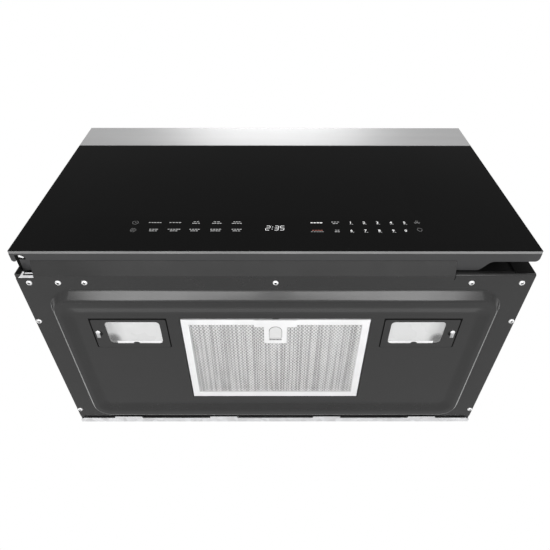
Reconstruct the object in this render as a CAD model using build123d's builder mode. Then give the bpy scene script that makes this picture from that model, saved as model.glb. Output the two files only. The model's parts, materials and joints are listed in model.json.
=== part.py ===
from build123d import *
import os

# An over the range microwave: a glass door over the whole front, a strip above it and a
# pressed bottom plate with the grease filter and two lamp covers.
# X runs to the right, Y back to the wall and Z up. The origin lies under the middle of the
# casing, level with its lowest bead. Depths are counted back from the front of the glass.

# Sheet metal and fits
sheet = 1.0
gap = 0.3
pin_play = 0.05
slide_clearance = 0.5
seat_margin = 8.0

# Oven
tray_diameter = 312.0
tray_margin = 17.15
cavity_width = 560.0
cavity_height = 228.0
cavity_corner = 8.0
shaft_opening = 3.0
steam_hole = 2.2
steam_pitch = 8.0
steam_columns = 12
steam_rows = 5
steam_setback = 90.0
steam_drop = 60.0

# Spaces round the oven, each from the oven's inside to the outside of the casing
left_space = 34.5
right_space = 164.5
bottom_space = 92.0
top_space = 110.0
rear_space = 31.0

# Door
door_thickness = 35.4
door_gap = 1.3
door_bottom = 18.0
glass_thickness = 4.0
door_wall = 3.0
web = 2.0
side_lip = 7.0
side_lip_depth = 19.4
side_notch = 1.5
side_notch_start = 9.0
hinge_inset = 14.5
hinge_depth = 11.0
hinge_pin = 3.0
hinge_arm = 12.0
bracket_thickness = 2.0
bracket_play = 1.4
riser_margin = 5.0
riser_rise = 40.0
arm_clearance = 2.0
bush_wall = 2.0
bush_height = 9.0
pocket_width = 61.5
pocket_curve = 23.0
pocket_depth = 19.3
pocket_height = 70.0
pocket_corner = 8.0
pocket_slope = 0.35
pocket_wall_inset = 6.0
rail_inset = 2.0
choke_side = 20.0
choke_end = 16.0
choke_groove = 26.0
choke_cover_thickness = 2.0
choke_cover_overlap = 6.0
ledge_start = 14.0
ledge_thickness = 7.0
ledge_width = 15.0
ledge_overhang = 10.0
window_drop = 24.0
board_low = 37.0
board_high = 82.0
board_width = 470.0
board_thickness = 1.6
board_play = 2.0
display_width = 72.0
display_offset = 6.0
display_thickness = 6.4
display_low = 42.0
display_high = 66.0
glass_chamfer = 0.8

# Strip above the door
strip_height = 80.5
strip_gap = 1.5
louvre_start = 6.0
louvre_length = 24.0
louvre_width = 660.0
louvre_thickness = 5.0
louvre_slots = 22
louvre_slot_width = 5.0
louvre_slot_pitch = 8.0
louvre_bar = 4.0
louvre_edge = 3.0
charcoal_width = 290.0
charcoal_thickness = 15.0
charcoal_recess = 12.0
charcoal_rim = 10.0
charcoal_columns = 19
charcoal_rows = 4
charcoal_cell = 11.0
charcoal_cell_height = 9.0
charcoal_strand = 3.0

# Bottom plate, its bead and its floor
bead_drop = 9.6
floor_rise = 6.0
bead_side = 25.5
bead_front = 30.3
bead_rear = 18.0
bead_run = 15.2
bead_corner = 42.0
terrace_side = 8.6
terrace_end = 12.0
floor_run_side = 14.2
floor_run_end = 18.0
lip_tall = 20.4
lip_short = 7.4
lip_split = 116.5
lip_slit = 1.2
lip_slit_length = 10.0
lip_bend = 3.0
corner_notch_width = 26.5
corner_notch_depth = 8.0
rear_hem = 9.6
hem_drop = 3.6
rear_notch_depth = 4.0
rear_notch_width = 56.0
rear_notch_inner = 100.0
rear_notch_outer = 285.0
rear_corner_cut = 5.0
filter_hole_corner = 2.0
lamp_hole_corner = 4.0

# Casing
bottom_flange = 20.0
front_flange = 15.0
casing_bend = 3.0
cabinet_bolt_spacing = 533.0
cabinet_bolt_radius = 3.5
cabinet_bolt_depth = 120.0
nut_radius = 8.0
nut_height = 6.0
grommet_radius = 11.0
grommet_lip = 3.0
grommet_depth = 4.0
grommet_inset = 60.0
grommet_setback = 40.0
cord_radius = 6.0
intake_length = 13.0
intake_width = 4.0
intake_gap = 3.0
intake_bar = 5.0
intake_columns = 6
intake_rows = 9
intake_setback = 75.0
intake_rise = 60.0
wall_slot_length = 40.0
wall_slot_width = 8.0
wall_slot_spacing = 379.5
wall_slot_rise = 36.0
frame_foot = 8.0

# Grease filter
filter_width = 299.0
filter_length = 203.0
filter_start = 127.0
filter_gap = 2.0
filter_rail = 11.5
filter_thickness = 8.0
filter_proud = 0.6
mesh_thickness = 3.2
mesh_groove = 3.0
mesh_columns = 24
mesh_rows = 12
mesh_strand = 3.0
latch_base_width = 69.0
latch_base_length = 16.0
latch_plate_width = 37.0
latch_plate_length = 54.0
latch_plate_thickness = 1.2
latch_tab_width = 19.5
latch_tab_start = 15.0
latch_tab_length = 26.5
latch_nose = 10.0
latch_nose_thickness = 1.2
latch_travel = 5.0
latch_lip = 2.0
latch_wing = 3.0
latch_wing_start = 6.0
catch_inset = 38.0
catch_bead = 0.9
catch_width = 24.0
catch_length = 8.0
mesh_rise = 3.4

# Lamps
lamp_spacing = 24.0
lamp_start = 128.0
cover_width = 118.5
cover_length = 65.0
cover_gap = 2.2
window_inset = 10.5
window_front = 5.0
window_width = 87.0
window_length = 50.0
lamp_height = 44.0
lamp_seat = 6.5
cover_corner = 3.0
window_corner = 7.0
lens_margin = 2.0
lens_corner = 5.0
lens_thickness = 2.0
lamp_wall_gap = 0.5
lamp_screw_inset = 6.0
lamp_screw_setback = 29.0
lamp_screw_hole = 4.6
lamp_screw_head = 3.2
bulb_radius = 12.0
bulb_reach = 38.0
bulb_neck = 7.0
socket_radius = 10.0
socket_length = 14.0

# Turntable
roller_radius = 8.0
roller_width = 7.0
roller_inset = 45.0
tray_thickness = 5.0
tray_rim = 9.0
shaft_radius = 3.5
axle_radius = 2.0
axle_cap = 1.5
hub_radius = 13.0
hub_ring = 42.0
hub_arm = 18.0
hub_arm_width = 7.0
hub_arm_reach = 14.0
ring_width = 16.0
ring_height = 6.0
spoke_width = 7.0
turntable_motor_radius = 25.0
turntable_motor_height = 16.0
turntable_ear = 36.0
turntable_ear_width = 16.0

# Blower, cooling fan and their ducts
exhaust_width = 254.0
exhaust_length = 83.0
exhaust_corner = 3.0
blower_setback = 66.0
blower_rise = 7.0
blower_width = 310.0
scroll_space = 10.0
inlet_rim = 8.0
blower_motor_length = 70.0
blower_motor_radius = 30.0
pedestal_width = 24.0
pedestal_depth = 16.0
wheel_radius = 38.0
wheel_length = 88.0
wheel_gap = 8.0
wheel_plate = 2.0
wheel_rim = 8.0
wheel_hub = 9.0
wheel_hub_length = 24.0
shaft_overrun = 30.0
blower_shaft_radius = 4.0
blade_count = 24
blade_width = 7.0
blade_thickness = 1.0
blade_pitch = 35.0
fan_radius = 46.0
fan_clearance = 4.0
fan_wall = 1.5
fan_space = 14.0
fan_blades = 7
fan_blade_root = 9.0
fan_hub = 12.0
fan_hub_length = 12.0
fan_bar_width = 18.0
fan_bar_thickness = 3.0
fan_bar_setback = 34.0
fan_motor_radius = 22.0
fan_motor_length = 16.0
fan_shaft_radius = 2.0
duct_width = 330.0
plenum_height = 55.0
plenum_margin = 6.0
riser_height = 8.0

# Screws
screw_head = 4.0
screw_head_height = 2.2
screw_radius = 1.9
screw_length = 7.0
screw_chamfer = 0.9
recess_length = 4.0
recess_width = 0.9
recess_depth = 1.2
screw_row_depth = 15.8
left_screw_insets = (17.1, 59.5, 98.2)
right_screw_insets = (90.7, 16.5)
side_screw_inset = 5.5
side_screw_depth = 97.3
rear_screw_setback = 37.0

# Latch hooks, counted up from the bottom of the door
hook_offset = 47.0
hook_width = 5.0
hook_height = 10.0
hook_reach = 25.0
hook_barb = 6.0
hook_travel = 4.0
hook_clearance = 2.0
hook_swing = 4.5
hook_heights = (112.0, 272.0)
hook_bar_width = 10.0
hook_bar_thickness = 6.0
hook_bar_gap = 3.0
hook_end = 8.0
guide_thickness = 3.5
guide_offset = 30.0
guide_height = 16.0
spring_height = 22.0
spring_width = 16.0
spring_leaf = 0.6
spring_corner = 6.0
spring_mouth = 6.0
interlock_depth = 42.0
interlock_width = 30.0
interlock_overhang = 24.0
interlock_wall = 2.0
interlock_foot = 8.0
strike_start = 12.0
strike_end = 26.0
strike_thickness = 4.0
switch_size = 12.0
switch_height = 24.0
switch_button = 1.5
switch_pitch = 40.0

# Microwave parts in the bay on the right
waveguide_depth = 34.0
waveguide_height = 80.0
waveguide_length = 190.0
waveguide_start = 100.0
waveguide_mouth = 80.0
magnetron_length = 70.0
magnetron_depth = 80.0
magnetron_height = 90.0
magnetron_inset = 5.0
mica_thickness = 0.6
yoke_wall = 2.0
antenna_radius = 9.0
antenna_hole = 12.0
antenna_length = 20.0
anode_radius = 19.0
magnet_radius = 28.0
magnet_thickness = 12.0
fin_count = 6
fin_pitch = 6.0
fin_thickness = 1.0
fin_start = 18.0
feed_box = 42.0
feed_box_length = 22.0
transformer_inset = 54.0
transformer_setback = 74.0
transformer_base = (100.0, 80.0)
transformer_core = (92.0, 58.0, 74.0)
transformer_winding = (64.0, 92.0)
transformer_coils = ((16.0, 36.0), (42.0, 64.0))
winding_corner = 12.0
capacitor_length = 90.0
capacitor_height = 52.0
capacitor_depth = 34.0
capacitor_corner = 16.0
capacitor_drop = 10.0
capacitor_setback = 56.0
terminal_length = 10.0
terminal_width = 6.0
terminal_pitch = 12.0

# Circuit boards in the bay and on top of the oven
standoff = 16.0
standoff_radius = 3.0
standoff_inset = 8.0
power_board_setback = 24.0
power_board_rise = 30.0
power_board_length = 156.0
power_board_height = 180.0
relay = (28.0, 22.0, 16.0)
relay_pitch = 34.0
board_transformer = (44.0, 40.0, 26.0)
heat_sink = (30.0, 50.0, 14.0)
connector = (60.0, 20.0, 10.0)
filter_board_inset = 45.0
filter_board_setback = 24.0
filter_board_width = 110.0
filter_board_length = 80.0
filter_board_rise = 8.0
coil_radius = 16.0
coil_bore = 7.0
coil_height = 20.4
fuse_width = 30.0
fuse_length = 16.0

# Overall sizes and the places that follow from them
cavity_depth = tray_diameter + 2 * tray_margin
width = left_space + cavity_width + right_space
height = bottom_space + cavity_height + top_space
depth = door_thickness + door_gap + 2 * sheet + cavity_depth + rear_space

half = width / 2
front = -depth / 2
rear = depth / 2
glass_back = front + glass_thickness
door_back = front + door_thickness
body_face = door_back + door_gap
frame_face = body_face + sheet
cavity_front = frame_face + sheet
cavity_back = cavity_front + cavity_depth
cavity_left = -half + left_space
cavity_right = cavity_left + cavity_width
cavity_floor = bottom_space
cavity_top = bottom_space + cavity_height
door_top = height - strip_height - strip_gap
door_middle = (door_bottom + door_top) / 2
plate_top = bead_drop + sheet
pan_top = floor_rise + sheet
inner_half = half - sheet
inner_top = height - sheet
inner_rear = rear - sheet
open_half = half - bottom_flange
bay_left = cavity_right + sheet


def grown(ends, amount):
    """The two ends of a stretch, each moved outwards."""
    return ends[0] - amount, ends[1] + amount


def beside(side, inner, outer):
    """A stretch on the left (-1) or the right (1) of the middle, lowest end first."""
    return tuple(sorted((side * inner, side * outer)))


def panel(x, y, radius=0.0, mode=Mode.ADD):
    """A rectangle in a sketch between two ends along each of its axes."""
    size = (x[1] - x[0], y[1] - y[0])
    with Locations(((x[0] + x[1]) / 2, (y[0] + y[1]) / 2)):
        if radius:
            RectangleRounded(*size, radius, mode=mode)
        else:
            Rectangle(*size, mode=mode)


def block(x, y, z, mode=Mode.ADD):
    """A rectangular solid between two ends along each axis."""
    middle = [(low + high) / 2 for low, high in (x, y, z)]
    with Locations(tuple(middle)):
        Box(x[1] - x[0], y[1] - y[0], z[1] - z[0], mode=mode)


def upright(y):
    """A vertical plane across the casing, seen from the front; extruding by -1 goes back."""
    return Plane.XZ.offset(-y)


def rod(radius, centre, z, mode=Mode.ADD):
    """A round upright bar or hole between two heights."""
    with BuildSketch(Plane.XY.offset(z[0])) as end:
        with Locations(centre):
            Circle(radius)
    extrude(end.sketch, amount=z[1] - z[0], mode=mode)


def cross_rod(radius, centre, x, mode=Mode.ADD):
    """A round bar or hole along X; its centre is given as Y and Z."""
    with BuildSketch(Plane.YZ.offset(x[0])) as end:
        with Locations(centre):
            Circle(radius)
    extrude(end.sketch, amount=x[1] - x[0], mode=mode)


def deep_rod(radius, centre, y, mode=Mode.ADD):
    """A round bar or hole along Y; its centre is given as X and Z."""
    with BuildSketch(upright(y[0])) as end:
        with Locations(centre):
            Circle(radius)
    extrude(end.sketch, amount=y[0] - y[1], mode=mode)


def save(piece, name):
    piece.part.label = name
    export_step(piece.part, f"parts/{name}.step")


os.makedirs("parts", exist_ok=True)


# Bottom plate: a flange round the bead that stands lowest, and the floor inside the bead

bead_half_x = half - bead_side
bead_ends = (body_face + bead_front, rear - bead_rear)
floor_inset_side = bead_run + terrace_side + floor_run_side
floor_inset_end = bead_run + terrace_end + floor_run_end
bead_edge = (0, 0, bead_corner, bead_drop)
bead_foot = (bead_run, bead_run, bead_corner - bead_run, 0)
terrace_edge = (bead_run + terrace_side, bead_run + terrace_end, bead_corner / 2, 0)
floor_edge = (floor_inset_side, floor_inset_end, bead_corner / 4, floor_rise)

filter_half = filter_width / 2
filter_ends = (front + filter_start, front + filter_start + filter_length)
lamp_inner = filter_half + lamp_spacing
lamp_outer = lamp_inner + cover_width
lamp_ends = (front + lamp_start, front + lamp_start + cover_length)

plate_rear = rear - rear_hem
split_x = half - lip_split
screw_row = body_face + screw_row_depth
screw_places = [(-half + inset, screw_row) for inset in left_screw_insets] + [(0, screw_row)]
screw_places += [(half - inset, screw_row) for inset in right_screw_insets]
for side in (-1, 1):
    screw_places += [(side * (half - side_screw_inset), body_face + side_screw_depth)]
    screw_places += [(side * (half - side_screw_inset), rear - rear_screw_setback)]


def pressed_form(lift, outlines, mode):
    """A tapered form between two rounded outlines, each given by its insets, corner and height."""
    sections = []
    for side, end, corner, z in outlines:
        reach = bead_half_x - side
        with BuildSketch(Plane.XY.offset(z + lift)) as outline:
            panel((-reach, reach), grown(bead_ends, -end), corner)
        sections.append(outline.sketch)
    loft(sections, ruled=True, mode=mode)


with BuildPart() as bottom_plate:
    with BuildSketch(Plane.YZ.offset(-half)) as lip_section:
        panel((body_face, plate_rear), (bead_drop, plate_top))
        panel((body_face, frame_face), (bead_drop, bead_drop + lip_tall))
        bend = lip_section.vertices().sort_by_distance((frame_face, plate_top))[0]
        fillet(bend, lip_bend - sheet)
        bend = lip_section.vertices().sort_by_distance((body_face, bead_drop))[0]
        fillet(bend, lip_bend)
    extrude(amount=width)
    lip_zone = (body_face, body_face + lip_slit_length)
    block((split_x, half), lip_zone, (bead_drop + lip_short, bead_drop + lip_tall), Mode.SUBTRACT)
    block((split_x - lip_slit, split_x), lip_zone, (0, bead_drop + lip_tall), Mode.SUBTRACT)
    block((-half, -half + corner_notch_width), (body_face, body_face + corner_notch_depth),
          (0, bead_drop + lip_tall), Mode.SUBTRACT)
    for x in (-rear_notch_outer, -rear_notch_inner, rear_notch_inner, rear_notch_outer):
        block((x - rear_notch_width / 2, x + rear_notch_width / 2),
              (plate_rear - rear_notch_depth, plate_rear), (bead_drop, plate_top), Mode.SUBTRACT)
    corners = bottom_plate.edges().filter_by(Axis.Z).group_by(Axis.Y)[-1].sort_by(Axis.X)
    chamfer([corners[0], corners[-1]], rear_corner_cut)
    pressed_form(0, (bead_foot, bead_edge), Mode.ADD)
    pressed_form(sheet, (bead_foot, bead_edge), Mode.SUBTRACT)
    pressed_form(sheet, (terrace_edge, floor_edge), Mode.ADD)
    pressed_form(0, (terrace_edge, floor_edge), Mode.SUBTRACT)
    with BuildSketch(Plane.XY.offset(floor_rise)):
        panel(grown((-filter_half, filter_half), filter_gap), grown(filter_ends, filter_gap),
              filter_hole_corner)
        for side in (-1, 1):
            hole = grown(beside(side, lamp_inner, lamp_outer), cover_gap)
            panel(hole, grown(lamp_ends, cover_gap), lamp_hole_corner)
    extrude(amount=sheet, mode=Mode.SUBTRACT)
    for place in screw_places:
        rod(screw_radius + pin_play, place, (0, plate_top), Mode.SUBTRACT)
save(bottom_plate, "bottom_plate")

with BuildPart() as bottom_screws:
    for place in screw_places:
        rod(screw_head, place, (bead_drop - screw_head_height, bead_drop))
        rod(screw_radius, place, (bead_drop, bead_drop + screw_length))
    chamfer(bottom_screws.edges().filter_by(GeomType.CIRCLE).group_by(Axis.Z)[0], screw_chamfer)
    for place in screw_places:
        with BuildSketch(Plane.XY.offset(bead_drop - screw_head_height)):
            with Locations(place):
                Rectangle(recess_length, recess_width)
                Rectangle(recess_width, recess_length)
        extrude(amount=recess_depth, mode=Mode.SUBTRACT)
save(bottom_screws, "bottom_screws")


# Casing: the wrapper over the top and both sides, and the panel against the wall

scroll = wheel_radius + scroll_space
wheel_y = rear - blower_setback
wheel_z = cavity_top + blower_rise + scroll
exhaust_ends = (wheel_y - exhaust_length / 2, wheel_y + exhaust_length / 2)
grommet_place = (half - grommet_inset, cavity_front + grommet_setback)
cabinet_bolts = [(side * cabinet_bolt_spacing / 2, front + cabinet_bolt_depth) for side in (-1, 1)]

with BuildPart() as outer_wrapper:
    with BuildSketch(upright(body_face)) as section:
        panel((-half, half), (plate_top, height))
        fillet(section.vertices().group_by(Axis.Y)[-1], casing_bend)
        panel((-inner_half, inner_half), (plate_top + sheet, inner_top), mode=Mode.SUBTRACT)
        panel((-open_half, open_half), (plate_top, plate_top + sheet), mode=Mode.SUBTRACT)
    extrude(amount=body_face - inner_rear)
    block((open_half, half), (body_face, frame_face + lip_bend), (plate_top, bead_drop + lip_short + gap),
          Mode.SUBTRACT)
    for side in (-1, 1):
        block(beside(side, half - front_flange, inner_half), (body_face, frame_face),
              (bead_drop + lip_tall + gap, door_top - lip_tall))
    with BuildSketch(Plane.XY.offset(inner_top)):
        panel((-exhaust_width / 2, exhaust_width / 2), exhaust_ends, exhaust_corner)
        with Locations(grommet_place):
            Circle(grommet_radius)
    extrude(amount=sheet, mode=Mode.SUBTRACT)
    for place in cabinet_bolts:
        rod(nut_radius, place, (inner_top - nut_height, inner_top))
        rod(cabinet_bolt_radius, place, (inner_top - nut_height, height), Mode.SUBTRACT)
    for place in screw_places:
        if abs(place[0]) > open_half:
            rod(screw_radius + pin_play, place, (plate_top, plate_top + sheet), Mode.SUBTRACT)
    with BuildSketch(Plane.YZ.offset(inner_half)):
        with Locations((inner_rear - intake_setback, cavity_floor + intake_rise)):
            with GridLocations(intake_length + intake_gap, intake_width + intake_bar,
                               intake_columns, intake_rows):
                SlotOverall(intake_length, intake_width)
    extrude(amount=sheet, mode=Mode.SUBTRACT)
save(outer_wrapper, "outer_wrapper")

with BuildPart() as rear_panel:
    with BuildSketch(Plane.YZ.offset(-half)) as hem_section:
        panel((inner_rear, rear), (bead_drop - hem_drop, height - casing_bend))
        panel((plate_rear + gap, rear), (bead_drop - hem_drop, bead_drop - hem_drop + sheet))
    extrude(amount=width)
    with BuildSketch(upright(inner_rear)):
        with Locations((0, bead_drop + wall_slot_rise)):
            with GridLocations(wall_slot_spacing, 1, 2, 1):
                SlotOverall(wall_slot_length, wall_slot_width)
    extrude(amount=-sheet, mode=Mode.SUBTRACT)
save(rear_panel, "rear_panel")

with BuildPart() as cord_grommet:
    rod(grommet_radius, grommet_place, (inner_top, height))
    rod(grommet_radius + grommet_lip, grommet_place, (inner_top - grommet_depth, inner_top))
    rod(cord_radius, grommet_place, (inner_top - grommet_depth, height), Mode.SUBTRACT)
save(cord_grommet, "cord_grommet")


# Front frame, with the oven's mouth, the charcoal filter's window and the latch slots

hook_x = cavity_right + hook_offset
hook_levels = [door_bottom + z for z in hook_heights]
charcoal_half = charcoal_width / 2
charcoal_ends = (door_top + seat_margin, inner_top - seat_margin)
hinge_x = -half + hinge_inset
hinge_y = front + hinge_depth
arm_low = door_bottom + door_wall + arm_clearance
arm_levels = [(arm_low, arm_low + bracket_thickness)]
arm_levels += [(2 * door_middle - arm_low - bracket_thickness, 2 * door_middle - arm_low)]
arm_ends = (hinge_x - hinge_pin, hinge_x + hinge_arm / 2)

with BuildPart() as front_frame:
    with BuildSketch(upright(frame_face)):
        panel((-inner_half + gap, inner_half - gap), (plate_top + lip_bend, inner_top - gap))
        panel((cavity_left, cavity_right), (cavity_floor, cavity_top), cavity_corner, Mode.SUBTRACT)
        panel(grown((-charcoal_half, charcoal_half), -charcoal_rim), grown(charcoal_ends, -charcoal_rim),
              mode=Mode.SUBTRACT)
        for z in hook_levels:
            low = z - hook_height / 2 - hook_barb - hook_clearance
            panel((hook_x - hook_width / 2 - hook_clearance, hook_x + hook_width / 2 + hook_swing),
                  (low, z + hook_height / 2 + hook_travel + hook_clearance), mode=Mode.SUBTRACT)
    extrude(amount=-sheet)
    with BuildSketch(Plane.YZ.offset(-open_half + gap)) as foot_section:
        panel((frame_face, cavity_front), (plate_top, cavity_floor - 2 * sheet))
        panel((frame_face, screw_row + frame_foot), (plate_top, plate_top + sheet))
        fillet(foot_section.vertices().sort_by_distance((frame_face, plate_top))[0], lip_bend - sheet)
    extrude(amount=2 * (open_half - gap))
    for z in arm_levels:
        block(grown(arm_ends, arm_clearance), (frame_face, cavity_front), grown(z, arm_clearance),
              Mode.SUBTRACT)
    for place in screw_places:
        if abs(place[0]) < open_half:
            rod(screw_radius + pin_play, place, (plate_top, plate_top + sheet), Mode.SUBTRACT)
save(front_frame, "front_frame")


# Oven cavity with its microwave feed

turn_place = ((cavity_left + cavity_right) / 2, (cavity_front + cavity_back) / 2)
cavity_middle = (cavity_floor + cavity_top) / 2
guide_ends = (cavity_front + waveguide_start, cavity_front + waveguide_start + waveguide_length)
guide_levels = (cavity_middle - waveguide_height / 2, cavity_middle + waveguide_height / 2)
guide_face = bay_left + waveguide_depth
mouth_ends = grown((guide_ends[0], guide_ends[0] + waveguide_mouth), -sheet)
magnetron_y = guide_ends[1] - magnetron_depth / 2 - magnetron_inset

with BuildPart() as oven_cavity:
    block(grown((cavity_left, cavity_right), sheet), (cavity_front, cavity_back + sheet),
          grown((cavity_floor, cavity_top), sheet))
    rear_rim = oven_cavity.faces().sort_by(Axis.Y)[-1].edges()
    fillet(oven_cavity.edges().filter_by(Axis.Y) + rear_rim, cavity_corner + sheet)
    offset(amount=-sheet, openings=oven_cavity.faces().sort_by(Axis.Y)[0])
    rod(shaft_radius + shaft_opening, turn_place, (cavity_floor - sheet, cavity_floor), Mode.SUBTRACT)
    block((cavity_right, bay_left), mouth_ends, grown(guide_levels, -sheet), Mode.SUBTRACT)
    with BuildSketch(Plane.YZ.offset(cavity_left - sheet)):
        with Locations((cavity_back - steam_setback, cavity_top - steam_drop)):
            with GridLocations(steam_pitch, steam_pitch, steam_columns, steam_rows):
                Circle(steam_hole)
    extrude(amount=sheet, mode=Mode.SUBTRACT)
save(oven_cavity, "oven_cavity")

with BuildPart() as waveguide:
    block((bay_left, guide_face), guide_ends, guide_levels)
    block((bay_left, guide_face - sheet), grown(guide_ends, -sheet), grown(guide_levels, -sheet),
          Mode.SUBTRACT)
    cross_rod(antenna_hole, (magnetron_y, cavity_middle), (guide_face - sheet, guide_face), Mode.SUBTRACT)
save(waveguide, "waveguide")

with BuildPart() as waveguide_cover:
    block((cavity_right - mica_thickness, cavity_right), grown(mouth_ends, seat_margin),
          grown(guide_levels, seat_margin - sheet))
save(waveguide_cover, "waveguide_cover")

yoke_ends = (guide_face + yoke_wall, guide_face + yoke_wall + magnetron_length)
magnetron_ys = (magnetron_y - magnetron_depth / 2, magnetron_y + magnetron_depth / 2)
magnetron_zs = (cavity_middle - magnetron_height / 2, cavity_middle + magnetron_height / 2)
magnetron_axis = (magnetron_y, cavity_middle)
with BuildPart() as magnetron:
    block((guide_face, yoke_ends[0]), magnetron_ys, magnetron_zs)
    cross_rod(antenna_radius, magnetron_axis, (guide_face - antenna_length, guide_face))
    block(yoke_ends, magnetron_ys, magnetron_zs)
    block(grown(yoke_ends, -yoke_wall), magnetron_ys, grown(magnetron_zs, -yoke_wall), Mode.SUBTRACT)
    cross_rod(anode_radius, magnetron_axis, yoke_ends)
    for x in (yoke_ends[0] + yoke_wall, yoke_ends[1] - yoke_wall - magnet_thickness):
        cross_rod(magnet_radius, magnetron_axis, (x, x + magnet_thickness))
    for fin in range(fin_count):
        x = yoke_ends[0] + fin_start + fin_pitch * fin
        block((x, x + fin_thickness), magnetron_ys, magnetron_zs)
    block((yoke_ends[1], yoke_ends[1] + feed_box_length),
          (magnetron_y - feed_box / 2, magnetron_y + feed_box / 2),
          (cavity_middle - feed_box / 2, cavity_middle + feed_box / 2))
save(magnetron, "magnetron")


# High voltage supply

core_levels = (pan_top + yoke_wall, pan_top + yoke_wall + transformer_core[2])
with BuildPart() as high_voltage_transformer:
    transformer_place = (bead_half_x - floor_inset_side - transformer_inset,
                         lamp_ends[1] + transformer_setback)
    with BuildSketch(Plane.XY.offset(pan_top)):
        with Locations(transformer_place):
            Rectangle(*transformer_base)
    extrude(amount=yoke_wall)
    with BuildSketch(Plane.XY.offset(core_levels[0])):
        with Locations(transformer_place):
            Rectangle(*transformer_core[:2])
    extrude(amount=transformer_core[2])
    for low, high in transformer_coils:
        with BuildSketch(Plane.XY.offset(pan_top + low)):
            with Locations(transformer_place):
                RectangleRounded(*transformer_winding, winding_corner)
        extrude(amount=high - low)
save(high_voltage_transformer, "high_voltage_transformer")

with BuildPart() as high_voltage_capacitor:
    can_levels = (guide_levels[0] - capacitor_drop - capacitor_height, guide_levels[0] - capacitor_drop)
    can_ends = (cavity_front + capacitor_setback, cavity_front + capacitor_setback + capacitor_length)
    with BuildSketch(upright(can_ends[0])):
        panel((bay_left, bay_left + capacitor_depth), can_levels, capacitor_corner)
    extrude(amount=-capacitor_length)
    block((bay_left, bay_left + sheet), grown(can_ends, -capacitor_length / 4),
          grown(can_levels, seat_margin))
    for side in (-1, 1):
        x = bay_left + capacitor_depth / 2 + side * terminal_pitch / 2
        z = (can_levels[0] + can_levels[1]) / 2
        block((x - sheet / 2, x + sheet / 2), (can_ends[0] - terminal_length, can_ends[0]),
              (z - terminal_width / 2, z + terminal_width / 2))
save(high_voltage_capacitor, "high_voltage_capacitor")


# Cooling fan behind the magnetron, blowing forward

fan_axis = (yoke_ends[0] + magnetron_length / 2, cavity_middle)
fan_front = magnetron_ys[1] + fan_space
fan_square = fan_radius + fan_clearance
fan_xs = (fan_axis[0] - fan_square, fan_axis[0] + fan_square)
fan_zs = (cavity_middle - fan_square, cavity_middle + fan_square)
fan_bar = (fan_front + fan_bar_setback, fan_front + fan_bar_setback + fan_bar_thickness)
fan_motor_ends = (fan_bar[0] - fan_motor_length, fan_bar[0])
hub_ends = (fan_front + fan_wall * 2, fan_front + fan_wall * 2 + fan_hub_length)

with BuildPart() as cooling_fan_housing:
    block(fan_xs, (fan_front, inner_rear), fan_zs)
    block(grown(fan_xs, -fan_wall), (fan_front + fan_wall, inner_rear), grown(fan_zs, -fan_wall),
          Mode.SUBTRACT)
    deep_rod(fan_radius + sheet, fan_axis, (fan_front, fan_front + fan_wall), Mode.SUBTRACT)
    block((fan_axis[0] - fan_bar_width / 2, fan_axis[0] + fan_bar_width / 2), fan_bar, grown(fan_zs, -sheet))
    block(grown(fan_xs, 1), (fan_bar[1] + fan_clearance, inner_rear - fan_clearance),
          grown(fan_zs, -fan_radius / 3), Mode.SUBTRACT)
save(cooling_fan_housing, "cooling_fan_housing")

with BuildPart() as cooling_fan_motor:
    deep_rod(fan_motor_radius, fan_axis, fan_motor_ends)
    deep_rod(fan_shaft_radius + pin_play, fan_axis, fan_motor_ends, Mode.SUBTRACT)
save(cooling_fan_motor, "cooling_fan_motor")

with BuildPart() as cooling_fan_wheel:
    deep_rod(fan_shaft_radius, fan_axis, (hub_ends[0], fan_bar[0] - gap))
    deep_rod(fan_hub, fan_axis, hub_ends)
    with BuildSketch(upright((hub_ends[0] + hub_ends[1]) / 2)):
        with Locations(fan_axis):
            with PolarLocations(0, fan_blades):
                with Locations(((fan_radius + fan_blade_root) / 2, 0)):
                    Trapezoid(fan_radius - fan_blade_root, fan_motor_radius - fan_clearance, 80)
    extrude(amount=1, both=True)
save(cooling_fan_wheel, "cooling_fan_wheel")


# Ventilation: grease filter plenum, riser behind the oven, blower under the casing's top

plenum_half = filter_half + filter_gap + plenum_margin
plenum_front = filter_ends[0] - filter_gap - plenum_margin
plenum_top = pan_top + plenum_height
floor_end = bead_ends[1] - floor_inset_end
with BuildPart() as filter_plenum:
    block((-plenum_half, plenum_half), (plenum_front, cavity_back + sheet), (pan_top, plenum_top))
    block(grown((-plenum_half, plenum_half), -sheet), (plenum_front + sheet, cavity_back + sheet),
          (pan_top, plenum_top - sheet), Mode.SUBTRACT)
    block(grown((-plenum_half, plenum_half), 1), (floor_end - lip_bend, cavity_back + sheet),
          (pan_top, plate_top + gap), Mode.SUBTRACT)
save(filter_plenum, "filter_plenum")

duct_half = duct_width / 2
riser_levels = (plenum_top, cavity_top + riser_height)
with BuildPart() as air_riser:
    block((-duct_half, duct_half), (cavity_back + sheet, inner_rear), riser_levels)
    block(grown((-duct_half, duct_half), -sheet), (cavity_back + 2 * sheet, inner_rear), riser_levels,
          Mode.SUBTRACT)
save(air_riser, "air_riser")

blower_half = blower_width / 2
blower_axis = (wheel_y, wheel_z)
motor_half = blower_motor_length / 2
with BuildPart() as blower_housing:
    block((-blower_half, blower_half), (wheel_y - scroll, wheel_y + scroll), (wheel_z - scroll, inner_top))
    low_edges = blower_housing.edges().filter_by(Axis.X).group_by(Axis.Z)[0]
    fillet(low_edges, wheel_radius)
    offset(amount=-sheet, openings=blower_housing.faces().sort_by(Axis.Z)[-1])
    for side in (-1, 1):
        cross_rod(wheel_radius - inlet_rim, blower_axis, beside(side, blower_half - sheet, blower_half),
                  Mode.SUBTRACT)
save(blower_housing, "blower_housing")

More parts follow.
